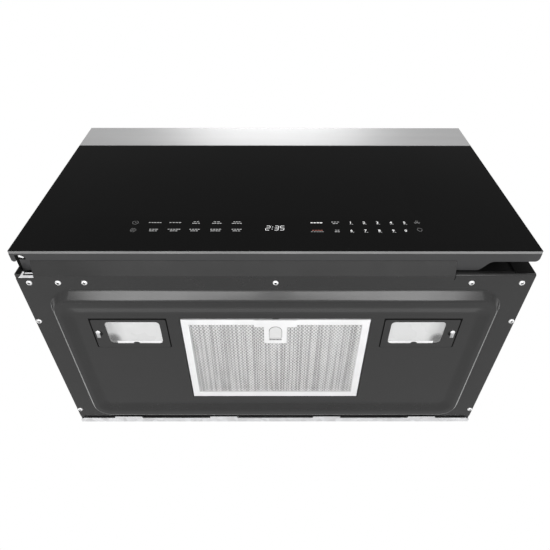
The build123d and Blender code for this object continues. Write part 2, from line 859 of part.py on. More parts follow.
with BuildPart() as blower_motor:
    cross_rod(blower_motor_radius, blower_axis, (-motor_half, motor_half))
    block((-pedestal_width / 2, pedestal_width / 2),
          (wheel_y - pedestal_depth / 2, wheel_y + pedestal_depth / 2),
          (wheel_z - scroll + sheet, wheel_z))
    cross_rod(blower_shaft_radius + pin_play, blower_axis, (-motor_half, motor_half), Mode.SUBTRACT)
save(blower_motor, "blower_motor")

wheel_start = motor_half + wheel_gap
with BuildPart() as blower_shaft:
    cross_rod(blower_shaft_radius, blower_axis, (-wheel_start - shaft_overrun, wheel_start + shaft_overrun))
save(blower_shaft, "blower_shaft")

for side, name in ((-1, "left"), (1, "right")):
    hub_end = wheel_start + wheel_hub_length
    wheel_end = wheel_start + wheel_length
    with BuildPart() as blower_wheel:
        cross_rod(wheel_radius, blower_axis, beside(side, wheel_start, wheel_start + wheel_plate))
        cross_rod(wheel_hub, blower_axis, beside(side, wheel_start, hub_end))
        cross_rod(blower_shaft_radius, blower_axis, beside(side, wheel_start, hub_end), Mode.SUBTRACT)
        with BuildSketch(Plane.YZ.offset(side * wheel_start)):
            with Locations(blower_axis):
                with PolarLocations(wheel_radius - blade_width / 2, blade_count):
                    Rectangle(blade_width, blade_thickness, rotation=blade_pitch)
        extrude(amount=side * wheel_length)
        rim = beside(side, wheel_end - wheel_plate, wheel_end)
        cross_rod(wheel_radius, blower_axis, rim)
        cross_rod(wheel_radius - wheel_rim, blower_axis, rim, Mode.SUBTRACT)
    save(blower_wheel, f"blower_wheel_{name}")


# Turntable: motor under the floor, coupler, roller ring, three rollers and the glass tray

roller_z = cavity_floor + gap + roller_radius
tray_z = roller_z + roller_radius + gap
tray_top = tray_z + tray_thickness + tray_rim
tray_radius = tray_diameter / 2
cx, cy = turn_place
motor_top = cavity_floor - sheet
socket_low = motor_top - turntable_motor_height + shaft_opening
with BuildPart() as turntable_motor:
    rod(turntable_motor_radius, turn_place, (motor_top - turntable_motor_height, motor_top))
    block((cx - turntable_ear, cx + turntable_ear),
          (cy - turntable_ear_width / 2, cy + turntable_ear_width / 2),
          (motor_top - 2 * sheet, motor_top))
    rod(shaft_radius + pin_play, turn_place, (socket_low, motor_top), Mode.SUBTRACT)
save(turntable_motor, "turntable_motor")

with BuildPart() as drive_coupler:
    rod(shaft_radius, turn_place, (socket_low + gap, roller_z))
    rod(hub_radius, turn_place, (cavity_floor + sheet, tray_z - gap))
    with BuildSketch(Plane.XY.offset(roller_z)):
        with Locations(turn_place):
            with PolarLocations(hub_arm_reach, 3):
                SlotOverall(hub_arm, hub_arm_width)
    extrude(amount=tray_z - gap - roller_z)
save(drive_coupler, "drive_coupler")

roller_track = tray_radius - roller_inset
ring_inner = roller_track - ring_width
cap_start = roller_track + roller_width / 2 + gap
with BuildPart() as roller_ring:
    with BuildSketch(Plane.XY.offset(roller_z - ring_height / 2)):
        with Locations(turn_place):
            Circle(roller_track - roller_width)
            Circle(ring_inner, mode=Mode.SUBTRACT)
            Circle(hub_ring)
            Circle(hub_ring - ring_height, mode=Mode.SUBTRACT)
            with PolarLocations((ring_inner + hub_ring) / 2, 3):
                Rectangle(ring_inner - hub_ring + ring_height, spoke_width)
    extrude(amount=ring_height)
    for turn in (0, 120, 240):
        axle = Plane(origin=(cx, cy, roller_z), z_dir=Vector(1, 0, 0).rotate(Axis.Z, turn))
        with BuildSketch(axle.offset(ring_inner + axle_radius)):
            Circle(axle_radius)
        extrude(amount=cap_start - ring_inner - axle_radius)
        with BuildSketch(axle.offset(cap_start)):
            Circle(axle_radius + axle_cap)
        extrude(amount=axle_cap)
save(roller_ring, "roller_ring")

for number in (1, 2, 3):
    outwards = Vector(1, 0, 0).rotate(Axis.Z, 120 * (number - 1))
    roller_plane = Plane(origin=(cx, cy, roller_z), z_dir=outwards).offset(roller_track - roller_width / 2)
    with BuildPart() as roller:
        with BuildSketch(roller_plane):
            Circle(roller_radius)
            Circle(axle_radius + pin_play, mode=Mode.SUBTRACT)
        extrude(amount=roller_width)
    save(roller, f"roller_{number}")

with BuildPart() as glass_tray:
    rod(tray_radius, turn_place, (tray_z, tray_top))
    base_edge = glass_tray.edges().filter_by(GeomType.CIRCLE).sort_by(Axis.Z)[0]
    chamfer(base_edge, tray_rim - sheet)
    with BuildSketch(Plane.XY.offset(tray_z + tray_thickness)) as dish_floor:
        with Locations(turn_place):
            Circle(tray_radius - tray_rim - 2)
    with BuildSketch(Plane.XY.offset(tray_top)) as dish_mouth:
        with Locations(turn_place):
            Circle(tray_radius - 3)
    loft([dish_floor.sketch, dish_mouth.sketch], ruled=True, mode=Mode.SUBTRACT)
save(glass_tray, "glass_tray")


# Interlock: bracket behind the front frame, with a ledge under each hook and three switches

bracket_ends = (cavity_front, cavity_front + interlock_depth)
bracket_xs = (hook_x - interlock_width / 2, hook_x + interlock_width / 2)
bracket_zs = grown((hook_levels[0], hook_levels[1]), interlock_overhang)
with BuildPart() as interlock_bracket:
    block(bracket_xs, bracket_ends, bracket_zs)
    block(grown(bracket_xs, -interlock_wall), (cavity_front, bracket_ends[1] - interlock_wall),
          grown(bracket_zs, 1), Mode.SUBTRACT)
    for z in hook_levels:
        ledge_top = z - hook_height / 2 - hook_barb - slide_clearance
        block(grown(bracket_xs, -interlock_wall / 2),
              (cavity_front + strike_start, cavity_front + strike_end),
              (ledge_top - strike_thickness, ledge_top))
    for side in (-1, 1):
        foot = beside(side, interlock_width / 2, interlock_width / 2 + interlock_foot)
        block((hook_x + foot[0], hook_x + foot[1]), (cavity_front, cavity_front + interlock_wall), bracket_zs)
save(interlock_bracket, "interlock_bracket")

switch_ends = (bracket_ends[1] - interlock_wall - switch_size, bracket_ends[1] - interlock_wall)
with BuildPart() as interlock_switches:
    for z in (hook_levels[0], hook_levels[0] + switch_pitch, hook_levels[1]):
        block((hook_x - switch_size / 2, hook_x + switch_size / 2), switch_ends,
              (z - switch_height / 2, z + switch_height / 2))
        block((hook_x - switch_button, hook_x + switch_button),
              (switch_ends[0] - switch_button, switch_ends[0]), (z - switch_button, z + switch_button))
save(interlock_switches, "interlock_switches")


# Circuit boards


def component(corner, size):
    """A part on the inner face of the power board, given by its low corner and its size."""
    y, z = board_ys[0] + corner[0], board_zs[0] + corner[1]
    block((board_xs[0] - size[2], board_xs[0]), (y, y + size[0]), (z, z + size[1]))


board_xs = (inner_half - standoff - board_thickness, inner_half - standoff)
board_ys = (cavity_front + power_board_setback, cavity_front + power_board_setback + power_board_length)
board_zs = (cavity_floor + power_board_rise, cavity_floor + power_board_rise + power_board_height)
with BuildPart() as power_board:
    block(board_xs, board_ys, board_zs)
    for y in grown(board_ys, -standoff_inset):
        for z in grown(board_zs, -standoff_inset):
            cross_rod(standoff_radius, (y, z), (board_xs[1], inner_half))
    for place in range(3):
        component((standoff_inset * 2 + relay_pitch * place, standoff_inset * 2), relay)
    component((standoff_inset * 2, standoff_inset * 2 + relay_pitch), board_transformer)
    component((power_board_length - standoff_inset * 2 - heat_sink[0], standoff_inset * 2 + relay_pitch),
              heat_sink)
    component((standoff_inset * 2, power_board_height - standoff_inset * 2 - connector[1]), connector)
save(power_board, "power_board")

shelf = cavity_top + sheet
filter_board_xs = (cavity_right - filter_board_inset - filter_board_width, cavity_right - filter_board_inset)
filter_board_ys = (cavity_front + filter_board_setback,
                   cavity_front + filter_board_setback + filter_board_length)
filter_board_top = shelf + filter_board_rise + board_thickness
coil_place = (filter_board_xs[0] + 2 * coil_radius, sum(filter_board_ys) / 2)
with BuildPart() as line_filter_board:
    block(filter_board_xs, filter_board_ys, (shelf + filter_board_rise, filter_board_top))
    for x in grown(filter_board_xs, -standoff_inset):
        for y in grown(filter_board_ys, -standoff_inset):
            rod(standoff_radius, (x, y), (shelf, shelf + filter_board_rise))
    rod(coil_radius, coil_place, (filter_board_top, filter_board_top + coil_height))
    rod(coil_bore, coil_place, (filter_board_top, filter_board_top + coil_height), Mode.SUBTRACT)
    fuse_xs = (filter_board_xs[1] - fuse_width - 2 * standoff_inset, filter_board_xs[1] - 2 * standoff_inset)
    for y in grown(filter_board_ys, -2 * standoff_inset - fuse_length / 2):
        block(fuse_xs, (y - fuse_length / 2, y + fuse_length / 2),
              (filter_board_top, filter_board_top + fuse_length))
save(line_filter_board, "line_filter_board")


# Strip above the door, with the louvre in its top and the charcoal filter behind it

strip_levels = (door_top + strip_gap, height)
louvre_ends = (front + louvre_start, front + louvre_start + louvre_length)
louvre_half = louvre_width / 2
with BuildPart() as top_trim:
    block((-half, half), (front, body_face), strip_levels)
    offset(amount=-sheet, openings=top_trim.faces().sort_by(Axis.Y)[-1])
    block((-louvre_half, louvre_half), louvre_ends, (inner_top, height), Mode.SUBTRACT)
save(top_trim, "top_trim")

with BuildPart() as vent_louvre:
    block(grown((-louvre_half, louvre_half), -gap), grown(louvre_ends, -gap), (inner_top, height))
    block(grown((-louvre_half, louvre_half), louvre_edge), grown(louvre_ends, louvre_edge),
          (inner_top - louvre_thickness, inner_top))
    with BuildSketch(Plane.XY.offset(inner_top - louvre_thickness)):
        pitch = louvre_width / louvre_slots
        with Locations((0, (louvre_ends[0] + louvre_ends[1]) / 2)):
            with GridLocations(pitch, louvre_slot_pitch, louvre_slots, 2):
                Rectangle(pitch - louvre_bar, louvre_slot_width)
    extrude(amount=louvre_thickness + sheet, mode=Mode.SUBTRACT)
save(vent_louvre, "vent_louvre")

charcoal_face = frame_face - charcoal_thickness
with BuildPart() as charcoal_filter:
    block((-charcoal_half, charcoal_half), (charcoal_face, frame_face), charcoal_ends)
    with BuildSketch(upright(charcoal_face)):
        with Locations((0, (charcoal_ends[0] + charcoal_ends[1]) / 2)):
            with GridLocations(charcoal_cell + charcoal_strand, charcoal_cell_height + charcoal_strand,
                               charcoal_columns, charcoal_rows):
                Rectangle(charcoal_cell, charcoal_cell_height)
    extrude(amount=-charcoal_recess, mode=Mode.SUBTRACT)
save(charcoal_filter, "charcoal_filter")


# Lamps in the bottom plate, one on each side of the grease filter

lamp_axis_z = pan_top + lamp_height / 2
window_ys = (lamp_ends[0] + window_front, lamp_ends[0] + window_front + window_length)
window_outer = lamp_inner + window_inset + window_width
wall_gap = lens_margin + lamp_wall_gap
lamp_screw_y = lamp_ends[0] + lamp_screw_setback
for side, name in ((-1, "left"), (1, "right")):
    cover_xs = beside(side, lamp_inner, lamp_outer)
    window_xs = beside(side, lamp_inner + window_inset, window_outer)
    screw_place = (side * (lamp_outer - lamp_screw_inset), lamp_screw_y)

    with BuildPart() as lamp_cover:
        with BuildSketch(Plane.XY.offset(floor_rise)):
            panel(cover_xs, lamp_ends, cover_corner)
            panel(window_xs, window_ys, window_corner, Mode.SUBTRACT)
            with Locations(screw_place):
                Circle(lamp_screw_hole, mode=Mode.SUBTRACT)
        extrude(amount=sheet)
    save(lamp_cover, f"lamp_cover_{name}")

    with BuildPart() as lamp_lens:
        with BuildSketch(Plane.XY.offset(pan_top)):
            panel(grown(window_xs, lens_margin), grown(window_ys, lens_margin), lens_corner)
        extrude(amount=lens_thickness)
    save(lamp_lens, f"lamp_lens_{name}")

    with BuildPart() as lamp_housing:
        with BuildSketch(Plane.XY.offset(pan_top)):
            panel(grown(cover_xs, cover_gap + lamp_seat), grown(lamp_ends, cover_gap + lamp_seat),
                  lamp_hole_corner)
        extrude(amount=sheet)
        with BuildSketch(Plane.XY.offset(pan_top)):
            panel(grown(window_xs, wall_gap + sheet), grown(window_ys, wall_gap + sheet), lens_corner + sheet)
        extrude(amount=lamp_height)
        with BuildSketch(Plane.XY.offset(pan_top)):
            panel(grown(window_xs, wall_gap), grown(window_ys, wall_gap), lens_corner)
        extrude(amount=lamp_height - sheet, mode=Mode.SUBTRACT)
        rod(screw_radius, screw_place, (pan_top, pan_top + sheet), Mode.SUBTRACT)
    save(lamp_housing, f"lamp_housing_{name}")

    with BuildPart() as lamp_bulb:
        wall = window_outer + wall_gap
        socket = ((window_ys[0] + window_ys[1]) / 2, lamp_axis_z)
        globe = beside(side, wall - bulb_reach - bulb_radius, wall - bulb_reach + bulb_radius)
        cross_rod(bulb_radius, socket, globe)
        fillet(lamp_bulb.edges().filter_by(GeomType.CIRCLE), bulb_radius * 0.9)
        cross_rod(bulb_neck, socket, beside(side, wall - bulb_reach, wall - socket_length))
        cross_rod(socket_radius, socket, beside(side, wall - socket_length, wall))
    save(lamp_bulb, f"lamp_bulb_{name}")

with BuildPart() as lamp_screws:
    for side in (-1, 1):
        place = (side * (lamp_outer - lamp_screw_inset), lamp_screw_y)
        rod(lamp_screw_head, place, (pan_top - 2 * sheet, pan_top))
        rod(screw_radius, place, (pan_top, pan_top + screw_length))
    chamfer(lamp_screws.edges().filter_by(GeomType.CIRCLE).group_by(Axis.Z)[0], screw_chamfer)
save(lamp_screws, "lamp_screws")


# Grease filter: a rail all round, the mesh in its groove, and a latch at the front

filter_levels = (floor_rise - filter_proud, floor_rise - filter_proud + filter_thickness)
filter_xs = (-filter_half, filter_half)
mesh_levels = (filter_levels[0] + mesh_rise, filter_levels[0] + mesh_rise + mesh_thickness)
mesh_xs = grown(filter_xs, -filter_rail)
mesh_ys = grown(filter_ends, -filter_rail)
nose_levels = (pan_top + gap, pan_top + gap + latch_nose_thickness)
with BuildPart() as filter_frame:
    block(filter_xs, filter_ends, filter_levels)
    block(mesh_xs, mesh_ys, filter_levels, Mode.SUBTRACT)
    block(grown(mesh_xs, mesh_groove), grown(mesh_ys, mesh_groove), mesh_levels, Mode.SUBTRACT)
    block((-latch_nose / 2 - gap, latch_nose / 2 + gap), (filter_ends[0], mesh_ys[0]),
          grown(nose_levels, gap), Mode.SUBTRACT)
    for side in (-1, 1):
        catch_xs = beside(side, filter_half - catch_inset, filter_half - catch_inset - catch_width)
        block(catch_xs, (filter_ends[1], filter_ends[1] + catch_length), nose_levels)
        cross_rod(catch_bead, (filter_ends[1] + catch_bead + pin_play, sum(nose_levels) / 2), catch_xs)
save(filter_frame, "filter_frame")

with BuildPart() as filter_mesh:
    with BuildSketch(Plane.XY.offset(mesh_levels[0])):
        panel(grown(mesh_xs, mesh_groove), grown(mesh_ys, mesh_groove))
        pitch_x = (mesh_xs[1] - mesh_xs[0]) / mesh_columns
        pitch_y = (mesh_ys[1] - mesh_ys[0]) / mesh_rows
        with Locations((0, (mesh_ys[0] + mesh_ys[1]) / 2)):
            with GridLocations(pitch_x, pitch_y, mesh_columns, mesh_rows):
                Rectangle(pitch_x - mesh_strand, pitch_y - mesh_strand, mode=Mode.SUBTRACT)
    extrude(amount=mesh_thickness)
save(filter_mesh, "filter_mesh")

latch_levels = (filter_levels[0] - latch_plate_thickness, filter_levels[0])
tab_half = latch_tab_width / 2
tab_ends = (filter_ends[0] + latch_tab_start, filter_ends[0] + latch_tab_start + latch_tab_length)
wing_start = mesh_ys[0] + latch_wing_start
nose_end = filter_ends[0] - filter_gap + gap


def tab_outline(margin, travel):
    """The tab's outline: straight at the rear and rounded towards the front."""
    reach = tab_half + margin
    with Locations((0, tab_ends[0] + tab_half)):
        Circle(reach)
    panel((-reach, reach), (tab_ends[0] + tab_half, tab_ends[1] + margin + travel))


with BuildPart() as filter_latch_plate:
    with BuildSketch(Plane.XY.offset(latch_levels[0])):
        panel((-latch_base_width / 2, latch_base_width / 2),
              (filter_ends[0], filter_ends[0] + latch_base_length), sheet)
        panel((-latch_plate_width / 2, latch_plate_width / 2),
              (filter_ends[0] + sheet, filter_ends[0] + latch_plate_length), latch_wing)
    extrude(amount=latch_plate_thickness)
    with BuildSketch(Plane.XY.offset(latch_levels[0])):
        tab_outline(gap, latch_travel)
    extrude(amount=latch_plate_thickness, mode=Mode.SUBTRACT)
save(filter_latch_plate, "filter_latch_plate")

with BuildPart() as filter_latch_tab:
    with BuildSketch(Plane.XY.offset(latch_levels[0] - filter_proud)):
        tab_outline(0, 0)
    extrude(amount=latch_plate_thickness + filter_proud)
    block((-tab_half, tab_half), (tab_ends[1] - latch_plate_thickness, tab_ends[1]),
          (latch_levels[0] - latch_lip, latch_levels[0]))
    block((-tab_half - latch_wing, tab_half + latch_wing), (wing_start, tab_ends[1]),
          (latch_levels[1] + gap, nose_levels[1]))
    block((-tab_half, tab_half), (wing_start, tab_ends[1]), (latch_levels[1], nose_levels[1]))
    block((-latch_nose / 2, latch_nose / 2), (nose_end, wing_start), nose_levels)
save(filter_latch_tab, "filter_latch_tab")


# Door frame: an outline seen from above, with the pull pocket at the lower right

door_levels = (door_bottom, door_top)
pocket_x = half - pocket_width
pocket_y = front + pocket_depth
pocket_roof = door_bottom + pocket_height
notch_x = -half + side_lip + side_notch
hollow_left = notch_x + door_wall
rail_x = cavity_right + choke_side + rail_inset
back_wall_x = pocket_x - pocket_curve - pocket_wall_inset
inner_levels = grown(door_levels, -door_wall)
hollow_front = glass_back + web
guide_low, guide_high = hook_levels
spring_roof = guide_high + hook_end + spring_height
panel_xs = (cavity_left - choke_side, cavity_right + choke_side)
panel_zs = (cavity_floor - choke_end, cavity_top + choke_end)
ledge_ys = (front + ledge_start, front + ledge_start + ledge_thickness)
ledge_xs = (hollow_left, rail_x)
ledge_zs = (panel_zs[0] - ledge_overhang, inner_levels[1])
touch_levels = (door_bottom + board_low, door_bottom + board_high)


def bush_stretch(level, length):
    """From an arm of the hinge towards the middle of the door, past the arm's clearance."""
    low, high = level
    if low < door_middle:
        return high + arm_clearance, high + arm_clearance + length
    return low - arm_clearance - length, low - arm_clearance


with BuildPart() as door_frame:
    with BuildSketch(Plane.XY.offset(door_bottom)) as door_plan:
        panel((notch_x, half), (glass_back, door_back))
        fillet(door_plan.vertices().group_by(Axis.Y)[-1].sort_by(Axis.X)[-1], pocket_corner)
        panel((-half, notch_x), (glass_back, front + side_notch_start))
        panel((-half, -half + side_lip), (front + side_notch_start, front + side_lip_depth))
        lip_end = door_plan.vertices().sort_by_distance((-half, front + side_lip_depth))[0:2]
        fillet(lip_end, side_lip / 2 - sheet / 10)
    extrude(amount=door_top - door_bottom)
    with BuildSketch(Plane.XY.offset(door_bottom)):
        with BuildLine():
            start = (pocket_x - pocket_curve, door_back)
            Spline(start, (pocket_x, pocket_y), tangents=((1, -pocket_slope), (1, 0)))
            Polyline((pocket_x, pocket_y), (half + 1, pocket_y), (half + 1, door_back + 1),
                     (start[0], door_back + 1), start)
        make_face()
    extrude(amount=pocket_height, mode=Mode.SUBTRACT)
    corner = door_frame.edges().filter_by(Axis.Z).sort_by_distance((half, pocket_y, door_bottom))[0]
    fillet(corner, pocket_corner - rail_inset)
    block((hollow_left, rail_x), (hollow_front, door_back), inner_levels, Mode.SUBTRACT)
    block((rail_x + door_wall, back_wall_x), (hollow_front, door_back - door_wall), inner_levels,
          Mode.SUBTRACT)
    block((back_wall_x, half - door_wall), (hollow_front, pocket_y - door_wall), inner_levels,
          Mode.SUBTRACT)
    block((back_wall_x, half - door_wall), (hollow_front, door_back - door_wall),
          (pocket_roof + door_wall, inner_levels[1]), Mode.SUBTRACT)
    block(ledge_xs, ledge_ys, ledge_zs)
    block(grown(panel_xs, -ledge_width), ledge_ys, grown(panel_zs, -ledge_width), Mode.SUBTRACT)
    block(grown((cavity_left, cavity_right), rail_inset), (glass_back, hollow_front),
          (touch_levels[1] + 2 * board_play, door_top - window_drop), Mode.SUBTRACT)
    block(grown((-board_width / 2, board_width / 2), board_play), (glass_back, hollow_front),
          grown(touch_levels, board_play), Mode.SUBTRACT)
    for level in arm_levels:
        block((hollow_left, hinge_x + door_wall + hinge_arm / 2), (glass_back, hinge_y + hinge_arm / 2 + web),
              bush_stretch(level, bush_height + 1))
        rod(hinge_pin + bush_wall, (hinge_x, hinge_y), bush_stretch(level, bush_height), Mode.SUBTRACT)
        block((-half, arm_ends[1] + arm_clearance), (glass_back, door_back), grown(level, arm_clearance),
              Mode.SUBTRACT)
    rod(hinge_pin + pin_play, (hinge_x, hinge_y), door_levels, Mode.SUBTRACT)
    for z in hook_levels:
        low, high = z - hook_height / 2 - hook_clearance, z + hook_height / 2 + hook_travel + hook_clearance
        block((hook_x - hook_width / 2 - hook_clearance, hook_x + hook_width / 2 + hook_clearance),
              (door_back - door_wall, door_back), (low, high), Mode.SUBTRACT)
    for z in (guide_low + guide_offset, guide_high - guide_offset):
        for side in (-1, 1):
            reach = beside(side, hook_bar_width / 2 + slide_clearance,
                           hook_bar_width / 2 + slide_clearance + guide_thickness)
            block((hook_x + reach[0], hook_x + reach[1]), (hollow_front, glass_back + hook_bar_width),
                  (z - guide_height / 2, z + guide_height / 2))
    block((hook_x - hook_bar_width, hook_x + hook_bar_width),
          (hollow_front, glass_back + hook_bar_gap + hook_bar_width), (spring_roof, spring_roof + door_wall))
save(door_frame, "door_frame")

with BuildPart() as door_glass:
    block((-half, half), (front, glass_back), door_levels)
    chamfer(door_glass.faces().sort_by(Axis.Y)[0].edges(), glass_chamfer)
save(door_glass, "door_glass")

choke_xs = grown(panel_xs, -choke_groove - sheet)
choke_zs = grown(panel_zs, -choke_groove - sheet)
panel_front = ledge_ys[1]
cover_front = door_back - choke_cover_thickness
with BuildPart() as door_inner_panel:
    block(panel_xs, (panel_front, cover_front), panel_zs)
    block(grown(panel_xs, -sheet), (panel_front + sheet, cover_front), grown(panel_zs, -sheet),
          Mode.SUBTRACT)
    block(choke_xs, (panel_front, cover_front - sheet), choke_zs)
    block(grown(choke_xs, -sheet), (panel_front, cover_front - 2 * sheet), grown(choke_zs, -sheet),
          Mode.SUBTRACT)
save(door_inner_panel, "door_inner_panel")

with BuildPart() as choke_cover:
    block(grown((hollow_left, rail_x), -gap), (cover_front, door_back), grown(inner_levels, -gap))
    block(grown(choke_xs, -choke_cover_overlap), (cover_front, door_back),
          grown(choke_zs, -choke_cover_overlap), Mode.SUBTRACT)
    for level in arm_levels:
        block((-half, arm_ends[1] + arm_clearance + web), (cover_front, door_back),
              grown(level, arm_clearance + door_wall), Mode.SUBTRACT)
save(choke_cover, "choke_cover")

with BuildPart() as door_bushes:
    for level in arm_levels:
        rod(hinge_pin + bush_wall, (hinge_x, hinge_y), bush_stretch(level, bush_height))
        rod(hinge_pin + pin_play, (hinge_x, hinge_y), bush_stretch(level, bush_height), Mode.SUBTRACT)
save(door_bushes, "door_bushes")

with BuildPart() as touch_board:
    block((-board_width / 2, board_width / 2), (glass_back, glass_back + board_thickness), touch_levels)
save(touch_board, "touch_board")

display_front = glass_back + board_thickness
with BuildPart() as display_module:
    block((display_offset - display_width / 2, display_offset + display_width / 2),
          (display_front, display_front + display_thickness),
          (door_bottom + display_low, door_bottom + display_high))
save(display_module, "display_module")

bar_ys = (glass_back + hook_bar_gap, glass_back + hook_bar_gap + hook_bar_thickness)
with BuildPart() as latch_hooks:
    block((hook_x - hook_bar_width / 2, hook_x + hook_bar_width / 2), bar_ys, grown(hook_levels, hook_end))
    for z in hook_levels:
        tip = body_face + hook_reach
        arm = (z - hook_height / 2, z + hook_height / 2)
        arm_xs = (hook_x - hook_width / 2, hook_x + hook_width / 2)
        block(arm_xs, (bar_ys[0], tip), arm)
        block(arm_xs, (tip - hook_end, tip), (arm[0] - hook_barb, arm[0]))
save(latch_hooks, "latch_hooks")

with BuildPart() as latch_spring:
    spring_zs = (guide_high + hook_end, spring_roof)
    spring_xs = (hook_x - spring_width / 2, hook_x + spring_width / 2)
    with BuildSketch(upright(bar_ys[0])):
        panel(spring_xs, spring_zs, spring_corner)
        panel(grown(spring_xs, -spring_leaf), grown(spring_zs, -spring_leaf), spring_corner - spring_leaf,
              Mode.SUBTRACT)
        panel((spring_xs[0] - spring_leaf, spring_xs[0] + spring_mouth - spring_leaf),
              grown(spring_zs, -spring_mouth), mode=Mode.SUBTRACT)
    extrude(amount=-hook_bar_thickness)
save(latch_spring, "latch_spring")


# Hinge brackets: a riser behind the front frame, an arm into the door and a pin

with BuildPart() as hinge_bracket_bottom:
    low, high = arm_levels[0]
    riser_ys = (cavity_front, cavity_front + bracket_thickness)
    riser_xs = (-inner_half + bracket_play, arm_ends[1] + riser_margin)
    foot_levels = (plate_top + bracket_play, plate_top + bracket_play + bracket_thickness)
    block(arm_ends, (hinge_y, riser_ys[1]), (low, high))
    rod(hinge_arm / 2, (hinge_x, hinge_y), (low, high))
    block(riser_xs, riser_ys, (foot_levels[0], high + riser_rise))
    block(riser_xs, (riser_ys[0], riser_ys[1] + riser_margin), foot_levels)
    rod(hinge_pin, (hinge_x, hinge_y), (door_bottom + gap, high + arm_clearance + bush_height))
save(hinge_bracket_bottom, "hinge_bracket_bottom")

with BuildPart() as hinge_bracket_top:
    mirror(hinge_bracket_bottom.part, about=Plane.XY.offset(door_middle))
save(hinge_bracket_top, "hinge_bracket_top")
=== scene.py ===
import json
import math

import bmesh
import bpy
from mathutils import Matrix, Vector
from mathutils.geometry import tessellate_polygon


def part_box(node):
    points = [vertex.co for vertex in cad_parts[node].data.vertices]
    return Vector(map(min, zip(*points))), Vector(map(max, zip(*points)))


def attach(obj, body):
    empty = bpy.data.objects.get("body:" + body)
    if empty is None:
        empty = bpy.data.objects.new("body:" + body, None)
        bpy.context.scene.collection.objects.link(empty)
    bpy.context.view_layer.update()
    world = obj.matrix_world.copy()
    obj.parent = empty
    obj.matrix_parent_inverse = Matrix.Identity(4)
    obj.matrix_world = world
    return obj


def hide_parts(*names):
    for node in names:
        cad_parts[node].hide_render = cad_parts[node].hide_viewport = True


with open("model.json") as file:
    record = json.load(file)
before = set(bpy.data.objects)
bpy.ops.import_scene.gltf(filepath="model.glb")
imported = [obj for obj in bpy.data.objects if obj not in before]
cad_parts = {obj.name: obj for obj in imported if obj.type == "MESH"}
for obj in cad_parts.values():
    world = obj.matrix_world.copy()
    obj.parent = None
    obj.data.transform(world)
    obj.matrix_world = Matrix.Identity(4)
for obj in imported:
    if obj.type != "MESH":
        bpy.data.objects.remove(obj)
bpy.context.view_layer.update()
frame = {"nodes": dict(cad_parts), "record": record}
nodes = frame["nodes"]

# Lengths are in millimetres; MM turns them into the frame's metres.
MM = 0.001


# Places that the CAD nodes give, for the finishes and the pieces

def spans(node):
    """How far a CAD node reaches along x, y and z, to a hundredth of a millimetre."""
    low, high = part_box(node)
    return [(round(start / MM, 2), round(end / MM, 2)) for start, end in zip(low, high)]


plate_xs, (body_front, plate_rear) = spans("bottom_plate")[:2]
half_width = plate_xs[1]
floor_z = spans("lamp_cover_right")[2][0]
glass_xs, glass_ys, glass_zs = spans("door_glass")
lens_xs, lens_ys = spans("lamp_lens_right")[:2]
housing_top = spans("lamp_housing_right")[2][1]
mesh_xs, mesh_ys = spans("filter_mesh")[:2]
latch_plate_low = spans("filter_latch_plate")[2][0]
tab_rear = spans("filter_latch_tab")[1][1]

# The latch tab's rounded front, the level between the filter's two nets, and the lead in each lamp
tab_front = -66.0
between_nets = 10.1
lead_place = (263.0, -34.0)


# Node trees, for finishes and for shapes

class Value:
    """What one output of a tree carries. Arithmetic on it adds Math nodes."""

    def __init__(self, graph, socket):
        self.graph = graph
        self.socket = socket

    def maths(self, operation, *values):
        return self.graph.node("ShaderNodeMath", {"operation": operation}, dict(enumerate(values)))

    def __add__(self, other):
        return self.maths("ADD", self, other)

    def __sub__(self, other):
        return self.maths("SUBTRACT", self, other)

    def __rsub__(self, other):
        return self.maths("SUBTRACT", other, self)

    def __mul__(self, other):
        return self.maths("MULTIPLY", self, other)

    def __truediv__(self, other):
        return self.maths("DIVIDE", self, other)

    def __mod__(self, other):
        return self.maths("FLOORED_MODULO", self, other)

    def __gt__(self, other):
        return self.maths("GREATER_THAN", self, other)

    def __lt__(self, other):
        return self.maths("LESS_THAN", self, other)

    def size(self):
        return self.maths("ABSOLUTE", self)

    def sine(self):
        return self.maths("SINE", self)

    __radd__ = __add__
    __rmul__ = __mul__


class Graph:
    """A node tree under way."""

    def __init__(self, tree):
        self.tree = tree

    def node(self, kind, settings=(), values=(), output=0):
        """Makes a node: its settings first, then the values or links of its sockets."""
        made = self.tree.nodes.new(kind)
        for name, setting in dict(settings).items():
            setattr(made, name, setting)
        for key, value in dict(values).items():
            socket = self.find(made.inputs, key)
            if isinstance(value, Value):
                self.tree.links.new(value.socket, socket)
            else:
                socket.default_value = value
        return Value(self, self.find(made.outputs, output))

    def find(self, sockets, key):
        if isinstance(key, int):
            return sockets[key]
        named = [s for s in sockets if s.identifier == key] or [s for s in sockets if s.name == key]
        return named[0]


def rgb(colour):
    """A grey level or three parts of colour, with full opacity."""
    if isinstance(colour, (int, float)):
        colour = (colour,) * 3
    return (*colour, 1.0)


